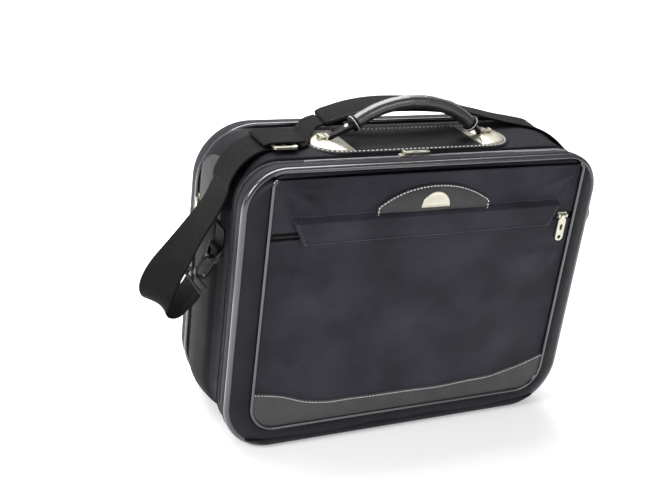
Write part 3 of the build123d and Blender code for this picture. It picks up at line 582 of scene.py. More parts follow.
# A closed sheet: a grid of points, the same grid moved back by a thickness, and a rim between them.
def shellPatch(name, face, material, thickness, direction=(0, 1, 0)):
    rows, columns = face.shape[:2]
    back = face + np.asarray(direction, float) * thickness
    count = rows * columns
    rim = np.concatenate([np.arange(columns), np.arange(1, rows) * columns + columns - 1,
                          (rows - 1) * columns + np.arange(columns - 2, -1, -1),
                          np.arange(rows - 2, 0, -1) * columns])
    follow = np.roll(rim, -1)
    edge = np.stack([rim, follow, follow + count, rim + count], 1)
    faces = np.vstack([grid(rows, columns), grid(rows, columns, flip=True) + count, edge])
    return closed(meshOf(name, np.stack([face, back]), faces, material), fineMerge)


mainBody = {"bandDepth": 8 * mm, "bandRear": -10 * mm, "sideSwell": 4.5 * mm, "topSwell": 2.0 * mm,
            "wall": 6.5 * mm, "ripple": 0.35 * mm, "topCloth": 20 * mm, "sideCloth": 22 * mm}


# Skin of the main body: a band sunken by smooth steps in front, sine swells behind it and over the top, and a
# plain inner wall.
def makeMainBody():
    look = mainBody
    start, stop, bandRear = case["mainFront"], case["mainRear"], look["bandRear"]
    y = np.concatenate([np.linspace(start, bandRear - 3 * mm, 12), np.linspace(bandRear, stop, 22)])
    band = smoothStep(y, start - 1 * mm, start + 6 * mm)
    band = band * (1 - smoothStep(y, bandRear - 7 * mm, bandRear + 1 * mm))
    share = np.clip((y - bandRear) / (stop - bandRear), 0, 1)
    swell = np.sin(np.pi * share) ** 0.7
    dome = np.sin(np.pi * (y - start) / (stop - start)) ** 0.8
    ripple = look["ripple"] * np.sin(around * 9.0)[:, None] * np.sin(np.pi * share)
    onSide = sideness[:, None]
    onTop = ((1 - sideness) * (outNz > 0))[:, None]
    offset = onSide * (look["sideSwell"] * swell - look["bandDepth"] * band + ripple)
    offset = offset + onTop * look["topSwell"] * dome
    inner = np.full((len(around), 12), -look["wall"]) - onSide * look["bandDepth"] * 0.5
    points = carry(np.concatenate([offset, inner], 1), np.concatenate([y, np.linspace(stop, start, 12)]))
    shell = cutAt(ringPiece("mainBody", points, "gusset"), case["sill"], True)
    # the sunken band is of black nylon; the top takes a darker copy of it, painted shade that offsets the
    # overhead lamp
    shell.data.materials.append(finish["nylon"])
    shell.data.materials.append(finish["shadedTopNylon"])
    centres = faceCentres(shell)
    isTop = centres[:, 2] > case["height"] - look["topCloth"]
    isLight = (centres[:, 1] > bandRear - 2 * mm) & (np.abs(centres[:, 0]) > halfWidth - look["sideCloth"])
    isLight &= centres[:, 2] < case["height"] - look["topCloth"]
    shell.data.polygons.foreach_set("material_index", np.where(isLight, 0, np.where(isTop, 2, 1)))
    give(shell, "case", "main_shell")


foot = {"frontRound": 6 * mm, "frontRun": 8 * mm, "lip": 24 * mm, "rearRound": 14 * mm}


# The foot that stays when a section opens: the case's whole depth as one profile, its front edge a quarter
# of a parabola and its rear edge a quarter circle, carried round and cut off at the sill.
def makeBase():
    start, stop, radius = case["shellFront"], case["rearY"], foot["rearRound"]
    turn = np.linspace(0.15, np.pi / 2, 8)
    y = np.concatenate([[start - 9 * mm], np.linspace(start - foot["frontRun"], start, 6),
                        np.linspace(start + 1 * mm, case["mainRear"], 20),
                        np.linspace(case["rearFront"], stop - radius, 6),
                        stop - radius + radius * np.sin(turn)])
    offset = np.concatenate([[-foot["lip"]], foot["frontRound"] * (np.sqrt(np.linspace(0, 1, 6)) - 1),
                             np.zeros(26), radius * (np.cos(turn) - 1)])
    points = carry(offset, y)
    rows, columns = points.shape[:2]
    faces = grid(rows, columns, closeRows=True).tolist() + endFaces(rows, columns)
    give(cutAt(closed(meshOf("baseFoot", points, faces, "nylon")), case["sill"], False), "case", "base_panel")


pocket = {"half": halfWidth - 26 * mm, "low": 26 * mm, "high": case["height"] - 8 * mm, "lowCorner": 30 * mm,
          "highCorner": 5 * mm, "faceY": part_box("pocket_panel")[0][1], "swell": 0.8 * mm, "foldScale": 1.7,
          "hem": 0.8 * mm, "hemReach": 2.2 * mm, "margin": 1.4 * mm, "cloth": 2.4 * mm,
          "calm": (204 * mm, 218 * mm, 254 * mm, 262 * mm)}  # heights between which the folds lie flatter
border = {"crown": 11 * mm, "fullWidth": 20 * mm, "inset": 3.2 * mm, "wave": 0.5 * mm}


# The pocket's own rounded rectangle.
def onPocket(t):
    return loopAt(t, pocket["half"], pocket["low"], pocket["high"], pocket["lowCorner"], pocket["highCorner"])


# Padded border from the case's edge to the pocket's: straight lines between the two loops, crowned by part
# of a sine that falls off in a soft ridge beside the thin piping, cut at the sill into a moving and a still
# piece.
def makeFrontBorder():
    x1, z1, _, _ = onPocket(around)
    x0, z0 = outX - outNx * border["inset"], outZ - outNz * border["inset"]
    share = np.linspace(0, 1, 22)
    crown = border["crown"] * np.clip(np.hypot(x1 - x0, z1 - z0) / border["fullWidth"], 0.25, 1)[:, None]
    arch = 0.16 + 0.84 * np.sin(np.pi * np.clip(share * 0.62 + 0.06, 0, 1)) ** 0.8
    arch = arch * (1 - smoothStep(share, 0.86, 1.04) * 0.22)
    wave = border["wave"] * np.sin(around * 7.3)[:, None] * np.sin(np.pi * share)
    y = case["shellFront"] + 1 * mm - crown * arch + wave * crown / border["crown"]
    x = x0[:, None] + (x1 - x0)[:, None] * share
    z = z0[:, None] + (z1 - z0)[:, None] * share
    backY = np.full_like(x1, case["shellFront"] + 2 * mm)
    wall = np.stack([np.stack([x1, backY, z1], -1), np.stack([x0, backY, z0], -1)], 1)
    points = np.concatenate([np.stack([x, y, z], -1), wall], 1)
    for name, keep, body, nodes in (("frontBorder", True, "front_section", ("front_border", "upper_border")),
                                    ("frontBorderFoot", False, "case", ())):
        give(cutAt(ringPiece(name, points, "nylon"), case["sill"], keep), body, *nodes, slot="body_fabric")


# Half the pocket's width at a height: full above the lower corners, a circle inside them.
def pocketHalf(z, inset):
    corner = pocket["lowCorner"] - inset
    drop = np.clip(pocket["low"] + inset + corner - z, 0, corner)
    return pocket["half"] - inset - corner + np.sqrt(np.maximum(corner ** 2 - drop ** 2, 0))


folds = [  # a fold's two ends in X and Z, its half width and its height, all in millimetres
    (-178, 300, -120, 268, 9, 1.8), (-170, 306, -150, 262, 7, -1.4), (178, 300, 120, 276, 9, 1.6),
    (165, 305, 140, 262, 7, -1.2), (-80, 306, -60, 276, 12, 0.9), (60, 304, 100, 284, 10, 0.8),
    (176, 240, 120, 190, 16, 1.6), (170, 200, 60, 120, 22, 1.4), (-176, 236, -110, 170, 18, 1.5),
    (-172, 150, -60, 110, 20, 1.2), (-120, 232, 20, 190, 22, -1.2), (20, 180, 150, 160, 20, -1.1),
    (-150, 90, -20, 150, 24, 1.1), (60, 90, 168, 110, 18, 1.2), (-60, 210, 60, 226, 14, 1.0),
    (-30, 90, 60, 70, 16, -0.9), (-176, 302, -138, 284, 4.5, 1.3), (-172, 296, -150, 272, 4.0, -1.1),
    (-168, 304, -128, 296, 4.0, 1.0), (176, 302, 140, 286, 4.5, 1.3), (172, 296, 154, 270, 4.0, -1.1),
    (150, 306, 118, 292, 5.0, 1.0), (-172, 226, -150, 200, 6.0, 1.2), (172, 214, 146, 176, 7.0, 1.3),
    (-170, 120, -140, 96, 8.0, 1.2), (-100, 160, -20, 120, 9.0, 0.9), (30, 140, 110, 118, 9.0, 0.9),
    (-40, 230, -10, 150, 11.0, -0.8)]


# Folds of cloth: a bell curve across each fold's line, faded at its ends, over two slow sine ripples.
def clothRelief(x, z):
    relief = 0.5 * mm * np.sin(x * 31 + z * 17) * np.sin(z * 43 - x * 9) + 0.25 * mm * np.sin(x * 83 - z * 37)
    for x0, z0, x1, z1, half, high in folds:
        a, b = np.array((x0, z0)) * mm, np.array((x1, z1)) * mm
        run = b - a
        share = ((x - a[0]) * run[0] + (z - a[1]) * run[1]) / (run @ run)
        across = ((x - a[0]) * run[1] - (z - a[1]) * run[0]) / np.hypot(*run)
        ends = np.exp(-((share - 0.5) / 0.42) ** 4)
        relief = relief + high * mm * np.exp(-(across / (half * mm)) ** 2) * ends
    return relief


# Depth of the pocket's face: half a sine over its height plus the folds, held flat at its edges by smooth
# steps.
def pocketY(x, z):
    edge = np.clip(1 - np.abs(x) / pocket["half"], 0, 1)
    share = np.clip((z - pocket["low"]) / (pocket["high"] - pocket["low"]), 0, 1)
    hold = smoothStep(edge, 0.0, 0.10) * smoothStep(share, 0.0, 0.06)
    hold = hold * (1 - smoothStep(share, 0.96, 1.0) * 0.6)
    a, b, c, d = pocket["calm"]
    calm = 1 - 0.75 * smoothStep(z, a, b) * (1 - smoothStep(z, c, d))
    relief = pocket["swell"] * np.sin(np.pi * share) + clothRelief(x, z) * pocket["foldScale"]
    return pocket["faceY"] - hold * calm * relief


# Cloth over the pocket's face between two heights, with a bell-shaped hem along its top.
def pocketSheet(name, low, high, rows, hem=0.0):
    z = np.linspace(low, high, rows)
    x = pocketHalf(z, pocket["margin"])[:, None] * np.linspace(-1, 1, 130)
    z = np.broadcast_to(z[:, None], x.shape)
    y = pocketY(x, z) - hem * np.exp(-((z - high) / pocket["hemReach"]) ** 2)
    return shellPatch(name, np.stack([x, y, z], -1), "satin", pocket["cloth"])


# The cloth below and above the pocket's zip, and the zip's teeth on a straight line.
def makePocket():
    low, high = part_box("pocket_zip")
    give(pocketSheet("pocketFront", pocket["low"] + 1.6 * mm, low[2], 110, pocket["hem"]), "front_section",
         "pocket_panel")
    give(pocketSheet("upperFront", high[2], pocket["high"] - 1 * mm, 44), "front_section", "upper_panel")
    reach = pocket["half"] - 6 * mm
    line = np.stack([np.linspace(-reach, reach, 80), np.full(80, low[1] - 0.5 * mm),
                     np.full(80, (low[2] + high[2]) / 2)], 1)
    give(coil("pocketCoil", line, forward, teeth["pocketPitch"]), "front_section", slot="zip_tape")


piping = {"thickRadius": 3.7 * mm, "thickSides": 16, "sunk": 2.2 * mm, "back": 0.2 * mm,
          "thinRadius": 1.75 * mm, "thinStand": 1.6 * mm, "topGap": 3.93}


# A thick tube round the case's front edge, cut at the sill, and a thin one round the pocket, open at the top.
def makePipings():
    ridge = lineRound(-piping["sunk"], case["shellFront"] - piping["back"])
    for name, keep, body, nodes in (("outerPiping", True, "front_section", ("outer_piping",)),
                                    ("outerPipingFoot", False, "case", ())):
        thick = tube(name, ridge, piping["thickRadius"], "piping", sides=piping["thickSides"],
                     closedLine=True)
        give(cutAt(thick, case["sill"], keep), body, *nodes, slot="piping")
    end = piping["topGap"]
    stops, counts = (end, 3, 2, 1, -1, -2, -3, -end), (5, 60, 24, 90, 24, 60, 5)
    t = np.concatenate([np.linspace(a, b, n) for a, b, n in zip(stops, stops[1:], counts)])
    x, z, _, _ = onPocket(t[np.concatenate([[True], np.abs(np.diff(t)) > 1e-9])])
    line = np.stack([x, np.full_like(x, pocket["faceY"] - piping["thinStand"]), z], 1)
    give(tube("innerPiping", along(line, count=420), piping["thinRadius"], "thinPiping"), "front_section",
         "inner_piping")


# shares of the front shell's depth and how far the side stands out there, then the rings inwards over its
# back
frontShell = {"depths": (0.0, 0.12, 0.3, 0.42, 0.5, 0.62, 0.8, 0.93, 0.985, 1.0),
              "bulges": (-1.2, 0.9, 1.3, 1.0, 0.1, -0.5, -0.8, -1.4, -2.6, -4.5),
              "back": (-12, -40, -90, -140), "inside": (-140, -90, -40, -12, -7, -7), "backWall": 3.6 * mm,
              "collar": 12 * mm, "reach": 141 * mm, "middle": 0.42}


# The front section's shell: its side a given profile carried round; past the collar the rings shrink
# in equal shares towards a short line in the middle of its back.
def makeFrontShell():
    look = frontShell
    start, stop = case["shellFront"] + 1 * mm, case["shellRear"]
    y = np.concatenate([start + np.array(look["depths"]) * (stop - start), [stop] * len(look["back"]),
                        [stop - look["backWall"]] * (len(look["inside"]) - 1), [start]])
    offset = np.array(look["bulges"] + look["back"] + look["inside"]) * mm
    points = carry(offset, y)
    deep = offset < -30 * mm
    share = (-offset[deep] - look["collar"]) / (look["reach"] - look["collar"])
    base = lineRound(-look["collar"], 0.0)
    points[:, deep, 0] = base[:, :1] * (1 - share) + outX[:, None] * look["middle"] * share
    points[:, deep, 2] = base[:, 2:] * (1 - share) + case["height"] / 2 * share
    shell = ringPiece("frontShell", points, "nylon", 0.05 * mm)
    give(cutAt(shell, case["sill"] + case["sillGap"], True), "front_section", "front_shell")


# the kick trim's upper edge: shares of the pocket's half width, and heights in millimetres
trim = {"edge": ((-1, 73), (-0.87, 68.5), (-0.8, 65), (-0.68, 56), (-0.5, 50.5), (-0.15, 50.5), (0.27,
        50), (0.6, 52),
                 (0.83, 61), (1, 73)),
        "soften": 15, "stand": 1.3 * mm, "roll": 0.7 * mm, "leather": 1.6 * mm, "seamDrop": 2.2 * mm}


# Kick trim: follows the pocket's face up to an edge that is a broken line softened by a Hann window.
def makeTrim():
    share, up = np.linspace(-1, 1, 150), np.linspace(0, 1, 26)[:, None]
    edgeX = share * pocket["half"]
    edge = np.array(trim["edge"])
    kernel = np.hanning(trim["soften"])
    top = np.pad(np.interp(share, edge[:, 0], edge[:, 1]), trim["soften"] // 2, mode="edge")
    top = np.convolve(top, kernel / kernel.sum(), mode="valid") * mm
    low = pocket["low"] + 1.8 * mm
    z = low + (top - low) * up
    half = pocketHalf(z, 1.5 * mm)
    x = np.clip(edgeX, -half, half)
    y = pocketY(x, z) - trim["stand"] + trim["roll"] * smoothStep(up, 0.97, 1.0)
    piece = shellPatch("kickTrim", np.stack([x, y, z], -1), "trim", trim["leather"])
    give(piece, "front_section", "kick_trim")
    seamX = share * (pocket["half"] - 3 * mm)
    seamZ = np.interp(seamX, edgeX, top) - trim["seamDrop"]
    line = np.stack([seamX, pocketY(seamX, seamZ) - 1.35 * mm, seamZ], 1)
    sew("trimStitch", line, forward, "trim", "front_section", "leather")


badge = {"shortEnd": 9 * mm, "stand": 1.5 * mm, "crown": 1.3 * mm, "soft": 12 * mm, "leather": 1.6 * mm,
         "seamInset": 2.0 * mm}
plate = {"hub": 0.40, "stand": 0.9 * mm, "thickness": 1.6 * mm,
         "shares": (1.0, 0.99, 0.965, 0.92, 0.89, 0.6, 0.3, 0.02),  # a rolled rim, then a shallow dome
         "heights": (0.0, 0.9, 1.3, 1.2, 0.9, 1.2, 1.35, 1.4)}


# The badge's outline: up a short end, over part of a circle and down the other end.
def badgeOutline(count, inset=0.0):
    low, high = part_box("badge_patch")
    half, top = (high[0] - low[0]) / 2 - inset, high[2] - inset
    rise = top - low[2] - badge["shortEnd"]
    radius = (half ** 2 + rise ** 2) / (2 * rise)
    reach = math.asin(half / radius)
    angle = np.linspace(-reach, reach, count)
    arc = np.stack([radius * np.sin(angle), top - radius + radius * np.cos(angle)], 1)
    return np.vstack([[(-half, low[2])], arc, [(half, low[2])]])


# The patch: rows from its outline straight down to its foot, crowned by a sine; the plate: its outline shrunk
# towards a hub by shares, each at its own height.
def makeBadge():
    low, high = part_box("badge_patch")
    outline = badgeOutline(70)
    outline = along(np.c_[outline, np.zeros(len(outline))], count=120)[:, :2]
    share = np.linspace(0, 1, 14)
    tall = (outline[:, 1] - low[2])[:, None]
    x = outline[:, :1] * np.ones(len(share))
    z = low[2] + tall * (1 - share)
    fade = np.minimum(tall, badge["soft"]) / badge["soft"] * (1 - (np.abs(x) / high[0]) ** 6)
    y = pocketY(x, z) - badge["stand"] - badge["crown"] * np.sin(np.pi * (1 - share)) ** 0.6 * fade
    piece = shellPatch("badgePatch", np.stack([x, y, z], -1), "badge", badge["leather"])
    give(piece, "front_section", "badge_patch")
    seam = badgeOutline(90, badge["seamInset"])
    line = np.stack([seam[:, 0], pocketY(seam[:, 0], seam[:, 1]) - 1.9 * mm, seam[:, 1]], 1)
    sew("badgeStitch", line, forward, "badge", "front_section", "leather")
    plateLow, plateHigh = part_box("badge_plate")
    half, tall = (plateHigh[0] - plateLow[0]) / 2, plateHigh[2] - plateLow[2]
    angle = np.linspace(0, np.pi, 64)
    rim = np.stack([half * np.cos(angle), plateLow[2] + tall * np.sin(angle)], 1)
    straight = np.stack([np.linspace(-half, half, 26)[1:-1], np.full(24, plateLow[2])], 1)
    loop = np.vstack([rim, straight])
    hub = np.array([0, plateLow[2] + plate["hub"] * tall])
    flat = hub + (loop - hub)[:, None] * np.array(plate["shares"])[:, None]
    y = np.broadcast_to(low[1] - plate["stand"] - np.array(plate["heights"]) * mm, flat.shape[:2])
    points = np.stack([flat[..., 0], y, flat[..., 1]], -1)
    points = np.concatenate([points[:, :1] + np.array([0, plate["thickness"], 0]), points], 1)
    rows, columns = points.shape[:2]
    faces = grid(rows, columns, closeRows=True).tolist() + endFaces(rows, columns)
    give(closed(meshOf("badgePlate", points, faces, "nickel"), fineMerge), "front_section", "badge_plate")


flap = {"slant": 12 * mm, "stand": 0.4 * mm, "belly": 0.96 * mm, "roll": 1.3 * mm, "cloth": 1.5 * mm,
        "seamAt": 0.86, "seamShare": 0.975, "sideSeam": 3.2 * mm, "hangerCloth": 1.6 * mm,
        "hangerRise": 3 * mm, "hangerDrop": 2.6 * mm}


# The storm flap: narrower downwards, bellied by a sine, rippled by two more, its lower edge rolled; and the
# strip it hangs from, a smooth step from the cloth above down to the flap.
def makeFlap():
    low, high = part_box("storm_flap")
    share, down = np.linspace(-1, 1, 140), np.linspace(0, 1, 20)[:, None]
    half = (high[0] - low[0]) / 2 - flap["slant"] * down
    x = half * share
    z = high[2] - (high[2] - low[2]) * down + 0 * x
    wave = 0.5 * mm * np.sin(x * 38) + 0.35 * mm * np.sin(x * 91 + 1.0)
    roll = flap["roll"] * np.exp(-((1 - down) / 0.07) ** 2)
    y = low[1] + flap["stand"] - wave * down - flap["belly"] * np.sin(np.pi * down) - roll
    give(shellPatch("stormFlap", np.stack([x, y, z], -1), "satin", flap["cloth"]), "flap", "storm_flap")
    row = int(round(flap["seamAt"] * (len(down) - 1)))
    line = np.stack([x[row] * flap["seamShare"], y[row] - 0.05 * mm, z[row]], 1)
    sew("flapStitch", line, forward, "flap", "flap", "pocket_fabric")
    for side, name in ((-1, "flapEndLeft"), (1, "flapEndRight")):
        line = np.stack([side * (half[:, 0] - flap["sideSeam"]), y[:, 0] - 0.1 * mm, z[:, 0]], 1)[1:row]
        sew(name, line, forward, "flap", "flap", "pocket_fabric")
    seamLow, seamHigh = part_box("flap_seam")
    drop = np.linspace(0, 1, 12)[:, None]
    x = np.linspace(seamLow[0], seamHigh[0], 140) * np.ones((12, 1))
    z = seamHigh[2] + flap["hangerRise"] - (seamHigh[2] - seamLow[2] + flap["hangerDrop"]) * drop + 0 * x
    root = pocketY(x, z) - 0.2 * mm
    y = root + (low[1] + 0.9 * mm - root) * smoothStep(drop, 0.0, 0.95)
    hanger = shellPatch("flapSeam", np.stack([x, y, z], -1), "satin", flap["hangerCloth"])
    give(hanger, "front_section", "flap_seam")
    seamZ = z[0] + 1.2 * mm
    line = np.stack([x[0], pocketY(x[0], seamZ) - 0.1 * mm, seamZ], 1)
    free = np.abs(line[:, 0]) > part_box("badge_patch")[1][0] + 2 * mm
    for side, name in ((-1, "seamStitchLeft"), (1, "seamStitchRight")):
        half = free & (np.sign(line[:, 0]) == side)
        sew(name, line[half], forward, "flap", "front_section", "pocket_fabric")


makeMainBody()
makeBase()
makeFrontBorder()
makePocket()
makePipings()
makeFrontShell()
makeTrim()
makeBadge()
makeFlap()
print("front section made")


rear = {"rim": 14 * mm, "corner": 62 * mm, "wall": 6 * mm, "swell": 1.5 * mm, "most": 0.9 * mm,
        "inset": 0.6 * mm,
        "sway": 0.7 * mm, "middle": 0.30, "inward": (0.06, 0.15, 0.28, 0.42, 0.57, 0.72, 0.86, 1.0),
        "pipingRadius": 2.3 * mm, "pipingStand": 0.4 * mm}


# The rear shell: a side swollen by a sine, a quarter-circle rim, and rings that shrink towards a short line
# in the middle of the back, which sways by a product of sines; then the same rings inside, a wall further
# in.
def makeRearSection():
    loop = loopAt(around, halfWidth, 0.0, case["height"], rear["corner"], rear["corner"])
    front, back, rim, wall, inset = case["rearFront"], case["rearY"], rear["rim"], rear["wall"], rear["inset"]
    share, turn = np.linspace(0, 1, 12), np.linspace(0, np.pi / 2, 12)[1:]
    sideOut = np.minimum(rear["swell"] * np.sin(np.pi * share) ** 0.7, rear["most"]) - inset
    outside = carry(np.concatenate([sideOut, rim * (np.cos(turn) - 1) - inset]),
                    np.concatenate([front + (back - rim - front) * share, back - rim + rim * np.sin(turn)]),
                    loop)
    inward = np.array(rear["inward"])
    base = lineRound(-rim - inset, back, loop)
    x = base[:, :1] * (1 - inward) + loop[0][:, None] * rear["middle"] * inward
    z = base[:, 2:] * (1 - inward) + case["height"] / 2 * inward
    sway = rear["sway"] * np.sin(x * 24) * np.sin(z * 19) * np.sin(np.pi * inward)
    face = np.stack([x, back + sway - 0.5 * mm, z], -1)
    innerFace = np.stack([x, np.full_like(x, back - wall), z], -1)[:, ::-1]
    inside = carry([-rim - inset, -wall - 4 * mm, -wall, -wall],
                   [back - wall, back - wall - 3 * mm, back - rim, front], loop)
    shell = ringPiece("rearShell", np.concatenate([outside, face, innerFace, inside], 1), "nylon", 0.05 * mm)
    give(cutAt(shell, case["sill"] + case["sillGap"], True), "rear_section", "rear_shell")
    low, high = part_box("rear_piping")
    line = lineRound(rear["pipingStand"], (low[1] + high[1]) / 2, loop)
    ridge = tube("rearPiping", line, rear["pipingRadius"], "piping", closedLine=True)
    give(cutAt(ridge, case["sill"] + case["sillGap"], True), "rear_section", "rear_piping")


# the tape's profile as shares of its half width and offsets in millimetres, and where the teeth carry a
# painted glint
zips = {"across": (-1, -0.4, -0.3, 0.3, 0.4, 1, 1, -1), "offset": (-2.0, -2.6, -3.0, -3.0, -2.6, -2.0,
        -6.6, -6.6), "teethOffset": -2.4 * mm, "glintBelowTop": 8 * mm, "glintFromX": -140 * mm}


# Each zip: a grooved tape carried round the case above the sill, and a coil on a line in the groove.
def makeZips():
    for node, name in (("front_zip", "frontZip"), ("rear_zip", "rearZip")):
        low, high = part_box(node)
        half, middle = (high[1] - low[1]) / 2, (high[1] + low[1]) / 2
        points = carry(np.array(zips["offset"]) * mm, middle + np.array(zips["across"]) * half)
        give(cutAt(ringPiece(name, points, "tape"), case["sill"], True), "case", node)
        on = outZ > case["sill"] + 1 * mm
        line = lineRound(zips["teethOffset"], middle)[on]
        outward = np.stack([outNx, np.zeros_like(outNx), outNz], -1)[on]
        apart = np.concatenate([[True], np.diff(runOf(line)) > 1e-6])
        row = coil(name + "Coil", line[apart], outward[apart], teeth["sectionPitch"])
        # on the front zip's top, from a point on the left onwards, the teeth take a bright metal: a painted
        # glint on a coil that is dark elsewhere
        if node == "front_zip":
            row.data.materials.append(finish["paintedGlintCoil"])
            centres = faceCentres(row)
            onTop = centres[:, 2] > case["height"] - zips["glintBelowTop"]
            glinting = onTop & (centres[:, 0] > zips["glintFromX"])
            row.data.polygons.foreach_set("material_index", np.where(glinting, 1, 0))
        give(row, "case", slot="zip_tape")


# Outline of a slot: two half circles of a radius joined by straight lines.
def stadium(half, radius):
    turn = np.linspace(-np.pi / 2, np.pi / 2, 48)
    right = np.stack([half - radius + radius * np.cos(turn), radius * np.sin(turn)], -1)
    top = np.linspace(1, -1, 60)[1:-1, None] * np.array([[half - radius, 0]]) + np.array([[0, radius]])
    return np.concatenate([right, top, -right, -top])


# A raised flat piece: outlines from the outside in, each at its height, closed by fans at both ends.
def plateau(name, outlines, heights, material, centre):
    rings = np.stack([np.c_[outline, np.full(len(outline), high)]
                      for outline, high in zip(outlines, heights)])
    rings = rings + np.array(centre)
    return capped(name, rings, rings[0].mean(0), rings[-1].mean(0), material)


# how far in each ring of the patch lies and how high it stands, in millimetres, then its seam
patch = {"insets": (1.2, 0.0, 0.0, 0.6, 1.8, 3.6, 4.6, 6.0, 16.0, 30.0),
         "heights": (-1.5, -1.2, 0.8, 1.7, 2.3, 2.3, 1.7, 2.0, 2.1, 2.1),
         "seamInset": 4.4 * mm, "seamHeight": 1.9 * mm}


# The leather under the handle: slot-shaped rings with a welt, and stitches in the groove behind it.
def makePatch():
    low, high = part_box("handle_patch")
    half, radius = (high[0] - low[0]) / 2, (high[1] - low[1]) / 2
    centre = ((low[0] + high[0]) / 2, (low[1] + high[1]) / 2, low[2])
    outlines = [stadium(half - inset * mm, radius - inset * mm) for inset in patch["insets"]]
    piece = plateau("handlePatch", outlines, np.array(patch["heights"]) * mm, "leather", centre)
    give(piece, "case", "handle_patch")
    line = stadium(half - patch["seamInset"], radius - patch["seamInset"])
    line = np.c_[line, np.full(len(line), patch["seamHeight"])] + np.array(centre)
    sew("patchStitch", np.vstack([line, line[:1]]), (0, 0, 1), "patch", "case", "leather")


saddle = {"bow": 9 * mm, "notch": 3.4 * mm, "notchHalf": 0.27, "heart": 6 * mm,
          "shares": (1.0, 1.0, 0.975, 0.93, 0.80, 0.55, 0.25), "heights": (0.0, 0.9, 1.5, 1.9, 2.5, 3.0, 3.2)}


# Crescent plates: a half circle outside, a cosine bow inside, shrunk towards a point and raised into a crown.
def makeSaddles():
    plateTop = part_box("handle_patch")[1][2]
    for side, node, name in ((-1, "left_saddle", "saddleLeft"), (1, "right_saddle", "saddleRight")):
        low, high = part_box(node)
        radius = (high[1] - low[1]) / 2
        inner, half = sorted((abs(low[0]), abs(high[0])))
        turn, sweep = np.linspace(-np.pi / 2, np.pi / 2, 41), np.linspace(1, -1, 41)
        outer = np.stack([half - radius + radius * np.cos(turn), radius * np.sin(turn)], -1)
        bow = saddle["bow"] * np.cos(sweep * np.pi / 2)
        notch = saddle["notch"] * ((np.abs(sweep) < saddle["notchHalf"]) & (side < 0))
        outline = np.concatenate([outer, np.stack([inner + bow + notch, sweep * radius * 0.98], -1)])
        heart = np.array([(inner + half) / 2 + saddle["heart"], 0.0])
        outlines = [(heart + (outline - heart) * share) * np.array([side, 1]) for share in saddle["shares"]]
        top = plateau(name, outlines, np.array(saddle["heights"]) * mm, "nickel",
                      (0, (low[1] + high[1]) / 2, plateTop))
        give(top, "case", slot="nickel")


# the grip's ends and top in X and Z, then radii, the wraps' rings, and where the pins lie
handle = {"left": (-69.0 * mm, 336.8 * mm), "right": (81.0 * mm, 331.8 * mm), "top": 361.3 * mm,
          "radius": 7.5 * mm,
          "flatten": 0.07, "ridge": 0.35 * mm, "ridgeAngle": 0.75, "wrinkle": 0.12 * mm, "wrap": 9 * mm,
          "wrapSwell": (0, 1.0, 1.25, 1.3, 1.3, 1.25, 0.9, 1.25, 1.3, 1.3, 1.3, 1.25, 1.0, 0.0),
          "threadAt": 7,
          "threadRadius": 0.45 * mm, "threadStand": 1.2 * mm, "eyeX": 91 * mm, "axisZ": 324.8 * mm}


# Centre line of the grip: the circle through its two ends and its top, from the lines half way between them.
def gripLine(count=90):
    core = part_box("handle_core")
    a, c = handle["left"], handle["right"]
    b = ((a[0] + c[0]) / 2, handle["top"])
    squares = [p[0] ** 2 + p[1] ** 2 for p in (a, b, c)]
    double = 2 * (a[0] * (b[1] - c[1]) + b[0] * (c[1] - a[1]) + c[0] * (a[1] - b[1]))
    x = (squares[0] * (b[1] - c[1]) + squares[1] * (c[1] - a[1]) + squares[2] * (a[1] - b[1])) / double
    z = (squares[0] * (c[0] - b[0]) + squares[1] * (a[0] - c[0]) + squares[2] * (b[0] - a[0])) / double
    radius = math.hypot(a[0] - x, a[1] - z)
    angle = np.linspace(math.atan2(a[1] - z, a[0] - x), math.atan2(c[1] - z, c[0] - x), count)
    return np.stack([x + radius * np.cos(angle), np.full(count, (core[0][1] + core[1][1]) / 2),
                     z + radius * np.sin(angle)], 1)


# The grip: a round section, a little flat on top, with a low ridge where its edges are sewn together, and at
# each end a wrap whose radius is a list of swells, with a ring of thread round it.
def makeGrip():
    line = gripLine()
    across = np.array([0, -1.0, 0])
    tangent = unit(np.gradient(line, axis=0))
    out = np.cross(tangent, across)
    out = out * np.sign(out[:, 2:3])
    angle = np.linspace(0, 2 * np.pi, 36, endpoint=False)
    radius = handle["radius"] * (1 - handle["flatten"] * np.clip(np.cos(angle), 0, 1) ** 3)
    radius = radius + handle["ridge"] * np.exp(-((angle - handle["ridgeAngle"]) / 0.12) ** 2)
    wrinkle = handle["wrinkle"] * np.sin(np.linspace(0, 60, len(line)))[:, None] * np.sin(angle * 2)
    turned = np.cos(angle)[:, None] * out[:, None] + np.sin(angle)[:, None] * across
    rings = line[:, None] + (radius + wrinkle)[:, :, None] * turned
    give(capped("handleGrip", rings, line[0], line[-1], "grip"), "handle", "handle_grip")
    seat = math.cos(handle["ridgeAngle"]) * out + math.sin(handle["ridgeAngle"]) * across
    seam = line + seat * (handle["radius"] + 0.25 * mm)
    sew("gripStitch", seam[8:-8], seat.mean(0), "grip", "handle", "leather")
    swell = np.array(handle["wrapSwell"]) * mm
    turn = np.linspace(0, 2 * np.pi, 60)[:-1, None]
    run = runOf(line)
    for name, distance, nodes in (("Left", run, ("grip_wraps",)), ("Right", run[-1] - run, ())):
        on = distance <= handle["wrap"]
        part = along(line[on], count=len(swell))
        give(tube("gripWrap" + name, part, handle["radius"] + swell, "leather", sides=28), "handle", *nodes,
             slot="leather")
        circle = np.cos(turn) * out[on].mean(0) + np.sin(turn) * across
        hoop = part[handle["threadAt"]] + (handle["radius"] + handle["threadStand"]) * circle
        thread = tube("wrapThread" + name, hoop, handle["threadRadius"], "thread", tangent[on].mean(0), 6,
                      closedLine=True)
        give(thread, "handle", slot="leather")


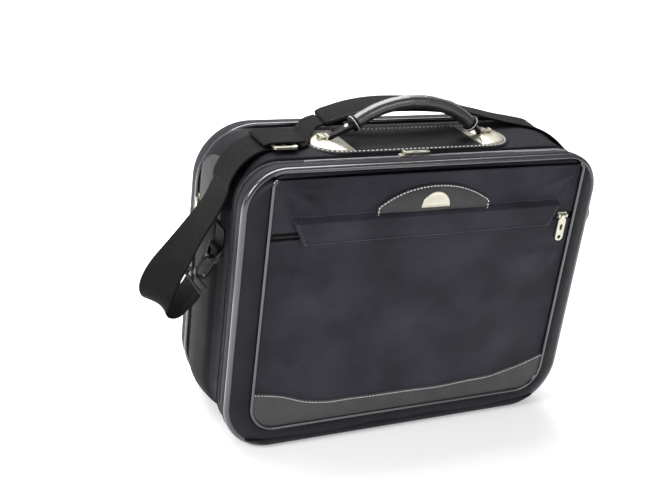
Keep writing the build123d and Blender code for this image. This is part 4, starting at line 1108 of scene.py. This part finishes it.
# half widths and half thicknesses of a tab at shares of its length, in millimetres, then its seam and rivet
tab = {"span": (-0.11, 0.985), "wideAt": (-0.11, 0.0, 0.35, 1.0), "wide": (2.6, 2.8, 4.4, 7.0),
       "thickAt": (-0.11, 0.0, 0.2, 1.0), "thick": (1.8, 2.5, 2.2, 2.4), "seamInset": 1.5 * mm,
       "seamLift": 2.55 * mm,
       "rivetBack": 5 * mm, "rivetLift": 2.4 * mm, "rivetRadius": 3.3 * mm,
       "rivetShares": (1.0, 1.0, 0.9, 0.7, 0.4, 0.0), "rivetHeights": (-0.4, 0.35, 0.85, 1.3, 1.62, 1.7)}


# Doubled leather from each eye to the grip: a superellipse that widens along its length, two rows of
# stitches, and a rivet turned from a list of radii and heights.
def makeTabs():
    y = gripLine()[0, 1]
    depth = np.array([0, 1.0, 0])
    share = np.linspace(*tab["span"], 22)
    halfWide = np.interp(share, tab["wideAt"], tab["wide"])[:, None] * mm
    halfThick = np.interp(share, tab["thickAt"], tab["thick"])[:, None] * mm
    cosine, sine = (f(np.linspace(0, 2 * np.pi, 24, endpoint=False)) for f in (np.cos, np.sin))
    u, v = np.sign(cosine) * np.abs(cosine) ** 0.35, np.sign(sine) * np.abs(sine) ** 0.55
    turn = np.linspace(0, 2 * np.pi, 28, endpoint=False)[:, None, None]
    for side, name, end in ((-1, "Left", handle["left"]), (1, "Right", handle["right"])):
        eye = np.array([side * handle["eyeX"], y, handle["axisZ"]])
        tip = np.array([end[0], y, end[1]])
        length = np.linalg.norm(tip - eye)
        run = (tip - eye) / length
        normal = np.cross(depth, run)
        normal = normal * np.sign(normal[2])
        centre = eye + run * (share * length)[:, None]
        rings = centre[:, None] + depth * (halfWide * u)[:, :, None] + normal * (halfThick * v)[:, :, None]
        piece = capped("handleTab" + name, rings, centre[0] - run * 0.5 * mm, centre[-1], "leather")
        give(piece, "handle", *(("handle_tabs",) if side < 0 else ()), slot="leather")
        for flank in (-1, 1):
            edge = centre + normal * tab["seamLift"] + depth * flank * (halfWide - tab["seamInset"])
            sew("tabStitch" + name + str(flank + 1), edge[3:-1], normal, "tab", "handle", "leather")
        seat = tip - run * tab["rivetBack"] + normal * tab["rivetLift"]
        radii = tab["rivetRadius"] * np.array(tab["rivetShares"])[None, :, None]
        lifts = normal * np.array(tab["rivetHeights"])[None, :, None] * mm
        dome = seat + lifts + radii * (np.cos(turn) * run + np.sin(turn) * depth)
        rivet = closed(meshOf("rivet" + name, dome, grid(*dome.shape[:2], closeRows=True), "nickel"), 1e-6)
        give(rivet, "handle", *(("handle_rivets",) if side < 0 else ()), slot="nickel")


# Flat webbing through stations, each a centre, the direction of its width, and a width, in millimetres.
# Along it they follow a Catmull-Rom curve; across it the section is a slab with round edges, thicker by
# edge at its borders and by crown in its middle. Its sections face along the run, or along facing where
# that is given.
def ribbon(name, stations, thickness, material, facing=None, edge=0.0, crown=0.0, step=3.0 * mm):
    rows = np.array([[*place, *width, wide] for place, width, wide in stations], float)
    rows[:, [0, 1, 2, 6]] *= mm
    padded = np.vstack([2 * rows[0] - rows[1], rows, 2 * rows[-1] - rows[-2]])
    spans = len(rows) - 1
    t = np.linspace(0, spans, spans * 20 + 1)
    i = np.minimum(t.astype(int), spans - 1)
    f = (t - i)[:, None]
    a, b, c, d = padded[i], padded[i + 1], padded[i + 2], padded[i + 3]
    curve = 0.5 * (2 * b + (c - a) * f + (2 * a - 5 * b + 4 * c - d) * f ** 2
                   + (3 * b - a - 3 * c + d) * f ** 3)
    run = runOf(curve[:, :3])
    count = max(int(run[-1] / step), 6) + 1
    at = np.linspace(0, run[-1], count)
    curve = np.stack([np.interp(at, run, curve[:, k]) for k in range(7)], 1)
    centre, width = curve[:, :3], curve[:, 6]
    heading = np.array(facing, float) if facing else unit(np.gradient(centre, axis=0))
    heading = np.broadcast_to(heading, centre.shape)
    across = unit(curve[:, 3:6] - heading * (curve[:, 3:6] * heading).sum(1, keepdims=True))
    normal = np.cross(heading, across)
    u = np.linspace(-1, 1, 25)
    u = np.sign(u) * np.abs(u) ** 0.8
    high = thickness * mm / 2 * (1 - np.abs(u) ** 40) ** 0.5 * (1 + crown * np.cos(u * np.pi / 2))
    high = high + edge * mm * np.exp(-((np.abs(u) - 0.93) / 0.04) ** 2)
    section = np.concatenate([np.stack([u, high], 1), np.stack([u[::-1], -high[::-1]], 1)[1:-1]])
    sideways = section[None, :, 0] * width[:, None] / 2
    points = centre[:, None] + across[:, None] * sideways[:, :, None] + normal[:, None] * section[None, :, 1:]
    uv = np.stack([sideways, np.broadcast_to(at[:, None], sideways.shape)], -1).reshape(-1, 2)
    uv = np.vstack([uv, [[0, at[0]], [0, at[-1]]]])
    piece = capped(name, points, centre[0], centre[-1], material, uv)
    return piece, centre, across, normal, width, float(run[-1])


# A ribbon of webbing that rides on a body and stands for its nodes.
def strapSheet(name, stations, thickness, body, *nodes, **shape):
    piece, _, _, _, width, length = ribbon(name, stations, thickness, "webbing", **shape)
    give(piece, body, *nodes, slot="webbing")


# widths, thicknesses and clearance above the case in millimetres, like the stations; the rest in metres
strap = {"width": 46, "thickness": 2.4, "clear": 3.6, "pad": 44, "padThick": 4.4, "right": 36, 
         "padSeamLift": 2.6 * mm, "padSeamInset": 4 * mm}
level = (0, -1, 0)  # the width lies straight across the case


# Stations on a circle round an upper corner of the case, the strap's clearance above it.
def roundCorner(side, angles, yFrom, yTo, width):
    corner = case["topCorner"] / mm
    x, z = halfWidth / mm - corner, case["height"] / mm - corner
    reach = corner + strap["clear"]
    return [((side * (x + reach * math.cos(angle)), y, z + reach * math.sin(angle)), level, width)
            for angle, y in zip(np.radians(angles), np.linspace(yFrom, yTo, len(angles)))]


# The left strand with its fold, the middle one that gathers into the pad, the right one partly on edge, and
# the pad with two rows of stitches.
def makeStrap():
    top = case["height"] / mm + strap["clear"]
    wide, right, pad = strap["width"], strap["right"], strap["pad"]
    turned, halfTurned = (0.5, -0.83, -0.2), (0.4, -0.88, -0.2)
    leftStations = [((-236.6, -27, 175.7), level, wide), ((-240.1, -27, 169.6), level, wide),
                    ((-245.6, -26, 163), level, wide), ((-252, -24, 157), (0.15, -0.98, -0.05), wide),
                    ((-260, -22.5, 153.5), (0.3, -0.94, -0.1), wide),
                    ((-268, -21.5, 154.5), (0.42, -0.88, -0.15), wide), ((-272.5, -21, 161), turned, wide),
                    ((-272.5, -20, 171), turned, wide), ((-266, -20, 188), halfTurned, wide),
                    ((-252, -20, 211), (0.25, -0.95, -0.1), wide), ((-236, -20, 237), (0.1, -1, 0), wide),
                    ((-221.4, -20, 260), level, wide)]
    leftStations += roundCorner(-1, (6, 20, 34, 48, 62, 76, 90), -20, -9, wide)
    leftStations += [((-139, -7, top), level, wide)]
    strapSheet("strapLeft", leftStations, strap["thickness"], "case", "strap_left", "strap_return", edge=0.12,
               step=2.5 * mm)
    middleStations = [((-135, -6, top - 0.6), level, wide), ((-128, -5, top - 0.6), level, wide),
                      ((-119, 3, top + 2.2), level, wide - 2), ((-111, 14, top + 4), level, wide - 8),
                      ((-100, 26, top + 6), level, wide - 12), ((-86, 32.5, top + 8), level, wide - 16)]
    strapSheet("strapMiddle", middleStations, strap["thickness"], "case", "strap_middle", facing=(1, 0, 0),
               edge=0.12)
    rightStations = [((86, 31, top + 16.8), level, right - 6), ((100, 31.5, top + 13.6), level, right - 3),
                     ((120, 32, top + 9), level, right), ((145, 31, top + 3.4), level, right)]
    rightStations += roundCorner(1, (90, 75, 60, 45, 30, 15), 29, -12, right)
    rightStations += [((222.3, -27, 265.5), level, right), ((226.7, -27, 260.0), level, right)]
    strapSheet("strapRight", rightStations, strap["thickness"], "case", "strap_right", edge=0.12)
    padStations = [((-85, 33, top + 8.5), level, pad - 9), ((-80, 32.4, top + 10.4), level, pad - 2),
                   ((-70, 31, top + 14), level, pad), ((-45, 30, top + 21), level, pad),
                   ((-15, 30, top + 24.5), level, pad), ((20, 30, top + 24.5), level, pad),
                   ((50, 30, top + 22.5), level, pad), ((78, 31, top + 18.5), level, pad),
                   ((86, 31, top + 17), level, pad - 4), ((89, 31, top + 16.3), level, pad - 12)]
    piece, centre, across, normal, width, _ = ribbon("shoulderPad", padStations, strap["padThick"],
    "padCloth",
                                                     crown=0.5, edge=0.5)
    give(piece, "case", "shoulder_pad")
    above = np.where(normal[:, 2:3] > 0, normal, -normal) * strap["padSeamLift"]
    for flank in (-1, 1):
        edge = centre + above + across * (flank * (width / 2 - strap["padSeamInset"]))[:, None]
        sew("padStitch" + str(flank + 1), edge[3:-3], (0, 0, 1), "pad", "case", "pad")


cover = {"stand": 1.9, "thickness": 2.2}


# The turn of webbing over the adjuster: only the frame's two ends show beside it.
def makeAdjusterCover():
    low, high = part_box("strap_adjuster")
    top = high[2] / mm + cover["stand"]
    start, end, y = low[0] / mm, high[0] / mm, (low[1] + high[1]) / 2 / mm
    stations = [((start - 9, y - 1, top - 2.3), (0.12, -1, 0), 44),
                ((start - 2, y, top - 0.3), (0.10, -1, 0), 45),
                ((start + 8, y, top + 0.2), (0.05, -1, 0), 45), ((end - 6, y, top), level, 45),
                ((end + 3, y + 1, top - 0.7), (-0.12, -1, 0), 44),
                ((end + 11, y + 2, top - 1.1), (-0.25, -1, 0), 43)]
    strapSheet("adjusterCover", stations, cover["thickness"], "adjuster", facing=(1, 0, 0), edge=0.1)


# where each ring's bar and the tab's sewn foot lie, and the angles round the bar, from the case's middle
# outwards
ringTabs = {"reach": 3.05, "stand": 1.0, "thickness": 1.9, "sides": (
    (-1, "ringTabLeft", "left_ring_tab", (214.4, 216), ((0, 240), (0, 228), (0.6, 222)),
     (100, 60, 20, -20, -60, -100)),
    (1, "ringTabRight", "right_ring_tab", (240, 222), ((0, 186), (0, 197), (2, 206), (14, 212)),
     (-100, -50, 0, 50, 100, 150, 190)))}


# Webbing sewn to the side by its foot and led round the ring's bar on a circle.
def makeRingTabs():
    wallX, reach = halfWidth / mm + ringTabs["stand"], ringTabs["reach"]
    for side, name, node, (barX, barZ), sewn, angles in ringTabs["sides"]:
        low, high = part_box(node)
        y, width = (low[1] + high[1]) / 2 / mm, (high[1] - low[1]) / mm
        path = [(wallX + out, z) for out, z in sewn]
        path += [(barX + reach * math.cos(a), barZ + reach * math.sin(a)) for a in np.radians(angles)]
        stations = [((side * x, y, z), level, width) for x, z in path]
        piece = ribbon(name, stations, ringTabs["thickness"], "webbing", edge=0.1, step=1.2 * mm)[0]
        give(piece, "case", node)


litSideSheet = {"front": -26 * mm, "rear": 34 * mm, "low": 246 * mm, "high": 300 * mm, "lift": 1.5 * mm,
             "roundFrom": 0.62, "bridge": 1.2 * mm, "ripple": 0.25 * mm, "cloth": 1.6 * mm}


# A sheet of lighter grey cloth high on the left, painted light where the side catches the light: rows follow
# the side and the corner's circle at a height that bridges the sunken band, narrowed by an ellipse towards
# its top.
def makeLitSideSheet():
    look, radius = litSideSheet, case["topCorner"]
    up, share = np.linspace(0, 1, 26), np.linspace(-1, 1, 22)
    corner = case["height"] - radius
    z = look["low"] + (look["high"] - look["low"]) * up
    angle = np.arcsin(np.clip((z - corner) / radius, 0, 1))[:, None]
    narrow = np.clip((up - look["roundFrom"]) / (1 - look["roundFrom"]), 0, 1)
    narrow = np.sqrt(np.clip(1 - narrow ** 2, 0.0, 1)) * 0.92 + 0.08
    middle, half = (look["front"] + look["rear"]) / 2, (look["rear"] - look["front"]) / 2
    y = middle + half * share * narrow[:, None]
    gussetShare = np.clip((y - mainBody["bandRear"]) / (52 * mm), 0, 1)
    swell = mainBody["sideSwell"] * np.sin(np.pi * gussetShare) ** 0.7 * np.cos(angle) ** 1.6
    reach = radius + np.maximum(swell, look["bridge"]) + look["lift"] + look["ripple"] * np.sin(y * 160)
    x = radius - halfWidth - reach * np.cos(angle)
    z = np.where(z[:, None] <= corner, z[:, None], corner + reach * np.sin(angle))
    sheet = shellPatch("paintedLightSheet", np.stack([x, y, z], -1), "paintedLightCloth", look["cloth"],
                       direction=(0.9, 0, -0.4))
    give(sheet, "case", slot="body_fabric")


# each panel's body, cloth, how much its middle sinks, and its lower and upper corners, in millimetres
linings = {
    "dividerPanel": ("divider", "case", "lining", 0.6, (49, 37)),
    "laptopPad": ("laptop_pad", "rear_section", "lining", 0.4, (44, 32)),
    "organiserPanel": ("organiser_panel", "front_section", "lining", 0.2, (12, 8)),
    "laptopStrap": ("laptop_strap", "rear_section", "tape", 0.1, (6, 6)),
}


# Soft panels that fill flat nodes: rings shrink from a rounded outline to a short line in the middle,
# rounded at the edge by shares of half the thickness, on the front and the back.
def makeLinings():
    shares = np.array([0.0, 0.004, 0.02, 0.06, 0.15, 0.3, 0.5, 0.75, 1.0])
    rise = np.array([0.3, 0.75, 0.98, 1.0, 0.96, 0.94, 0.92, 0.9, 0.9])
    for name, (node, body, cloth, sink, corners) in linings.items():
        low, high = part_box(node)
        x, z, _, _ = loopAt(around, (high[0] - low[0]) / 2, low[2], high[2], corners[0] * mm, corners[1] * mm)
        ringX = x[:, None] * (1 - shares) + x[:, None] * 0.2 * shares
        ringZ = z[:, None] * (1 - shares) + (low[2] + high[2]) / 2 * shares
        half = (high[1] - low[1]) / 2
        depth = np.maximum(rise * half - sink * mm * (1 - (1 - shares) ** 3), 0.2 * mm) + 0 * ringX
        middle = (low[1] + high[1]) / 2
        front = np.stack([ringX, middle - depth, ringZ], -1)[:, ::-1]
        back = np.stack([ringX, middle + depth, ringZ], -1)
        give(ringPiece(name, np.concatenate([front, back], 1), cloth, 0.03 * mm), body, node)


makeRearSection()
makeZips()
makePatch()
makeSaddles()
makeGrip()
makeTabs()
print("rear section, zips and handle made")
makeStrap()
makeAdjusterCover()
makeRingTabs()
makeLitSideSheet()
makeLinings()
print("strap and small pieces made")

# nodes that keep their own shape, by finish
kept = {
    "board": ("base_board", "top_board"),
    "steel": ("front_frame_wire", "rear_frame_wire", "handle_core"),
    "tape": ("pocket_zip",),
    "nickel": ("left_saddle", "right_saddle", "handle_pins", "pocket_slider", "pocket_pull", "front_slider",
               "front_pull", "rear_slider", "rear_pull", "strap_adjuster"),
    "blackMetal": ("left_ring", "right_ring", "left_hook", "left_gate", "right_hook", "right_gate"),
}
for look, nodes in kept.items():
    for node in nodes:
        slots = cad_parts[node].data.materials
        slots.clear()
        slots.append(finish[look])
print("finishes on the kept pieces")
